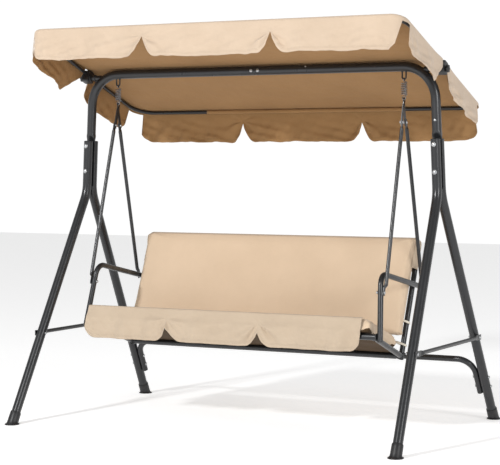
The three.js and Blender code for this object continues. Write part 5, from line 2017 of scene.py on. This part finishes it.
    def build_cover(self) -> bpy.types.Object:
        """The cloth: a roof grid fitted to the bars' outline, rolled over them and hanging as valances.

        Returns:
            The sheet.
        """
        ends = self.half_width - 0.030
        a1 = self.stations(self.across, self.half_width, (*self.notches, -ends, ends))
        side_end = self.half_depth - self.cloth_corner - self.slit
        b1 = self.stations(self.along, self.half_depth, (0.0, self.side_tip[0], -side_end, side_end))
        a, b = np.meshgrid(a1, b1)
        roof, cloth = self.roof(a, b)
        draft = Draft().surface(self.to_world(roof), cloth=cloth)
        area = flat_area(cloth)
        rim = [(a1, np.full(len(a1), -1.0)), (np.full(len(b1), 1.0), b1)]
        rim += [(a1[::-1], np.full(len(a1), 1.0)), (np.full(len(b1), -1.0), b1[::-1])]
        rim_a = np.concatenate([p[0][:-1] for p in rim])
        rim_b = np.concatenate([p[1][:-1] for p in rim])
        edge, valance_cloth, hem = self.valance(np.append(rim_a, rim_a[0]), np.append(rim_b, rim_b[0]))
        draft.surface(self.to_world(edge), cloth=valance_cloth, hem=hem)
        area += flat_area(valance_cloth)
        piece = draft.build("canopy_cover", [CANOPY_CLOTH, CANOPY_BACKING], sharp=180.0, closed=False)
        weld = bmesh.new()
        weld.from_mesh(piece.data)
        bmesh.ops.remove_doubles(weld, verts=weld.verts, dist=0.00002)
        bmesh.ops.recalc_face_normals(weld, faces=weld.faces)
        weld.to_mesh(piece.data)
        weld.free()
        face_towards(piece, UP)
        thicken(piece, self.thickness, 1)
        dress(piece, Body.CANOPY, "canopy_fabric", "canopy_fabric")
        return piece

    def roof(self, a: Array, b: Array) -> tuple[Array, Array]:
        """Roof points: a plain grid that turns into the bars' outline towards its rim.

        Args:
            a: -1 to 1 along X.
            b: -1 to 1 along the depth.

        Returns:
            Canopy points, and cloth coordinates.
        """
        m = np.maximum(np.maximum(np.abs(a), np.abs(b)), 1e-9)
        x, u, _, _ = self.outline(a / m, b / m)
        share = m**8
        x = a * self.half_width * (1 - share) + x * m * share
        u = b * self.half_depth * (1 - share) + u * m * share
        free = np.clip((1 - m) / 0.12, 0, 1)
        slack = 0.0009 * ripple(x, u, 21, 0.33) * smoothstep(free)
        w = self.bar_rise + self.wrap + self.crown(u) + slack
        return np.stack([x, u, w], -1), np.stack([x, u], -1)

    def valance(self, a: Array, b: Array) -> tuple[Array, Array, Array]:
        """Cloth from the bars' tops over them and down: an arc, then a straight fall with folds.

        Args:
            a: the outline's places, -1 to 1 along X.
            b: and along the depth.

        Returns:
            Canopy points, cloth coordinates and distances from the hem, rows going down.
        """
        x, u, nx, nu = self.outline(a, b)
        end_angle = math.pi / 2 - self.tilt * nu - math.radians(7.0) * nx**2
        fall = self.fall(x, u, nx, nu)
        over = end_angle * self.wrap
        over = np.where((np.abs(nx) > 0.5) & (np.abs(u) <= self.side_slot + 0.001), 0.0008, over)
        arc_rows = 8
        below = 1.0 + np.linspace(0.0, 1.0, self.down)[1:]
        t = np.concatenate([np.linspace(0.0, 1.0, arc_rows), below])[:, None]
        s_arc = np.clip(t, 0, 1) * over
        s_fall = np.clip(t - 1, 0, 1) * fall
        angle = s_arc / self.wrap
        out = self.wrap * np.sin(angle) + s_fall * np.cos(end_angle)
        height = self.wrap * np.cos(angle) - s_fall * np.sin(end_angle)
        rim = np.concatenate([[0.0], np.cumsum(np.hypot(np.diff(x), np.diff(u)))])
        place = np.broadcast_to(rim, s_fall.shape)
        loose = smoothstep(s_fall / 0.10)
        fold = 0.0095 * ripple(place, s_fall * 0.7, 3, 0.16) + 0.0042 * ripple(place, s_fall * 1.4, 8, 0.06)
        for notch in self.notches:
            near = np.exp(-(((x - notch) / 0.05) ** 2)) * (np.abs(nu) > 0.9)
            fold = fold + 0.009 * near
            stars = star_creases(x, s_fall, notch, 0.04, int(100 + notch * 200))
            fold = fold + 0.0140 * stars * (np.abs(nu) > 0.9)
        fold = np.maximum(fold + 0.005, -0.004) * loose
        out = out + fold
        grid = np.stack([x + nx * out, u + nu * out, self.bar_rise + self.crown(u) + height], -1)
        total = s_arc + s_fall
        cloth = np.stack([place, total], -1)
        return grid, cloth, (over + fall) - total

    def fall(self, x: Array, u: Array, nx: Array, nu: Array) -> Array:
        """How far the valance falls below the bars, all the way round.

        Args:
            x: place on the outline along X.
            u: and along the depth.
            nx: outward direction along X.
            nu: and along the depth.

        Returns:
            The fall, zero in the slots at the clamps and the slits at the corners.
        """
        hw, hd, r = self.half_width, self.half_depth, self.cloth_corner
        around = np.arctan2(np.abs(nx), np.abs(nu)) * r
        q_end = np.sign(x) * np.where(np.abs(nx) > 0, hw - r + around, np.abs(x))
        q_side = np.sign(u) * np.where(np.abs(nu) > 0, hd - r + (math.pi / 2 * r - around), np.abs(u))
        reach = hw - r + math.radians(54.0) * r
        front = lobe_drop(q_end, -reach, reach, self.notches, self.front_drop, self.rise)
        reach = hw - r + math.radians(22.0) * r
        rear = lobe_drop(q_end, -reach, reach, self.notches, self.rear_drop, self.rise)
        reach = hd - r - self.slit / 2
        side = lobe_drop(q_side, -reach, -self.side_slot, (), self.side_drop, 0.0)
        side = np.maximum(side, lobe_drop(q_side, self.side_slot, reach, (), self.side_drop, 0.0))
        tip_u, tip_drop = self.side_tip
        rising = np.interp(q_side, [tip_u - 0.068, tip_u, -self.side_slot], [self.side_drop, tip_drop, 0.030])
        lobe = (q_side > tip_u - 0.068) & (q_side < -self.side_slot)
        side = np.where(lobe, rising, side)
        depth = np.where(np.abs(nu) > 0.02, np.where(nu < 0, front, rear), side)
        slot = (np.abs(nx) > 0.5) & (np.abs(u) <= self.side_slot + 0.001)
        return np.where(slot, 0.0, np.maximum(depth, 0.010))

    def build_pocket(self, end: End) -> None:
        """Sleeve of backing cloth that holds the cover to a bar: an arc of 267 degrees under it.

        Args:
            end: front or rear bar.
        """
        x = np.linspace(*self.sleeve_ends, 120)
        angle = np.radians(np.linspace(-62.0, 205.0, 34))[:, None]
        radius = self.sleeve_radius + 0.0004 * ripple(np.broadcast_to(x, (34, 120)), angle * 0.03, 9, 0.07)
        turn = angle + self.sleeve_turn
        u = end.sign * self.half_depth - end.sign * radius * np.sin(turn)
        w = self.bar_rise - radius * np.cos(turn)
        grid = np.stack([np.broadcast_to(x, u.shape), u, w], -1)
        cloth = np.stack(np.broadcast_arrays(x, angle * self.sleeve_radius), -1)
        piece = Draft().surface(self.to_world(grid), cloth=cloth).build(
            f"canopy_sleeve_{end.label}", [CANOPY_BACKING], closed=False)
        thicken(piece, 0.0006)
        dress(piece, Body.CANOPY, "canopy_fabric")


# ---------------------------------------------------------------- studio
@dataclass
class Studio:
    """Pale floor, white surroundings, a soft key and a weaker fill, and the camera."""

    place: Point = (3.228, -6.158, 1.092)
    azimuth: float = math.radians(27.83)
    pitch: float = math.radians(-2.55)
    roll: float = math.radians(0.07)
    lens: float = 121.87

    def build(self) -> None:
        """Sets the stage."""
        scene = bpy.context.scene
        scene.view_settings.view_transform = "Standard"
        world = bpy.data.worlds.new("surroundings")
        world.use_nodes = True
        self.light_surroundings(world.node_tree)
        scene.world = world
        self.lay_floor()
        self.hang_light("key", (-1.6, -6.2, 3.9), (0.0, 0.0, 0.8), 0.5, 285.0)
        self.hang_light("fill", (5.6, -2.6, 2.6), (0.0, 0.0, 0.9), 1.6, 110.0)
        camera = bpy.data.cameras.new("camera")
        camera.lens, camera.sensor_width = self.lens, 36.0
        eye = bpy.data.objects.new("camera", camera)
        scene.collection.objects.link(eye)
        eye.location = self.place
        eye.rotation_euler = (math.pi / 2 + self.pitch, self.roll, self.azimuth)
        scene.camera = eye

    def light_surroundings(self, tree: bpy.types.NodeTree) -> None:
        """White near the horizon and dimmer overhead, as a room with bright walls is.

        Args:
            tree: the world's nodes.
        """
        place = tree.nodes.new("ShaderNodeTexCoord")
        split = tree.nodes.new("ShaderNodeSeparateXYZ")
        tree.links.new(place.outputs["Generated"], split.inputs[0])
        ramp = tree.nodes.new("ShaderNodeMapRange")
        tree.links.new(split.outputs["Z"], ramp.inputs["Value"])
        for number, value in ((1, 0.11), (2, 0.30), (3, 1.02), (4, 0.38)):
            ramp.inputs[number].default_value = value
        background = tree.nodes["Background"]
        background.inputs["Color"].default_value = (1.0, 1.0, 1.0, 1.0)
        tree.links.new(ramp.outputs[0], background.inputs["Strength"])

    def lay_floor(self) -> None:
        """Lays a pale matt floor."""
        mesh = bpy.data.meshes.new("floor")
        r = 14.0
        mesh.from_pydata([(-r, -r, 0), (r, -r, 0), (r, r, 0), (-r, r, 0)], [], [(0, 1, 2, 3)])
        g = Graph("floor")
        g.surface(Base_Color=(0.97, 0.97, 0.97, 1.0), Roughness=0.95, Specular_IOR_Level=0.1)
        g.surface(Emission_Color=(1.0, 1.0, 1.0, 1.0), Emission_Strength=0.42)
        mesh.materials.append(g.material)
        floor = bpy.data.objects.new("floor", mesh)
        bpy.context.scene.collection.objects.link(floor)

    def hang_light(self, name: str, place: Point, target: Point, size: float, power: float) -> None:
        """Hangs a square soft light.

        Args:
            name: its name.
            place: where it hangs.
            target: what it points at.
            size: side of the square.
            power: in watts.
        """
        light = bpy.data.lights.new(name, "AREA")
        light.energy, light.size = power, size
        lamp = bpy.data.objects.new(name, light)
        lamp.location = place
        lamp.rotation_euler = (Vector(target) - Vector(place)).to_track_quat("-Z", "Y").to_euler()
        bpy.context.scene.collection.objects.link(lamp)


FRAME: dict = {}


def main() -> None:
    """Loads the frame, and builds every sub-assembly and the studio."""
    logging.basicConfig(level=logging.INFO, format="%(message)s")
    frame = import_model()
    FRAME.update(frame)
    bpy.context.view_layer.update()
    Stand().build()
    Suspension().build()
    BenchFrame().build()
    lean = math.atan2(0.105, 0.301)
    seat = Cushion(
        name="seat_pad",
        origin=(-0.246, 0.405),
        lean=lean,
        centre=(0.0, 0.1145, 0.039),
        half=(0.626, 0.151, 0.0245),
        voxel=0.007,
        rest=-2,
        rest_at=0.0141,
        painted_shade_below=True,
    )
    seat.build()
    SeatDeck(seat).build()
    lean = math.atan2(0.189, 0.454)
    back = Cushion(
        name="back_pad",
        origin=(0.050, 0.288),
        lean=lean,
        centre=(0.0, -0.0335, 0.2930),
        half=(0.634, 0.0205, 0.2100),
        voxel=0.0078,
        rest=1,
        rest_at=-0.0127,
    )
    back.build()
    Hood(back).build()
    Skirt().build()
    Canopy().build()
    Studio().build()


if __name__ == "__main__":
    main()
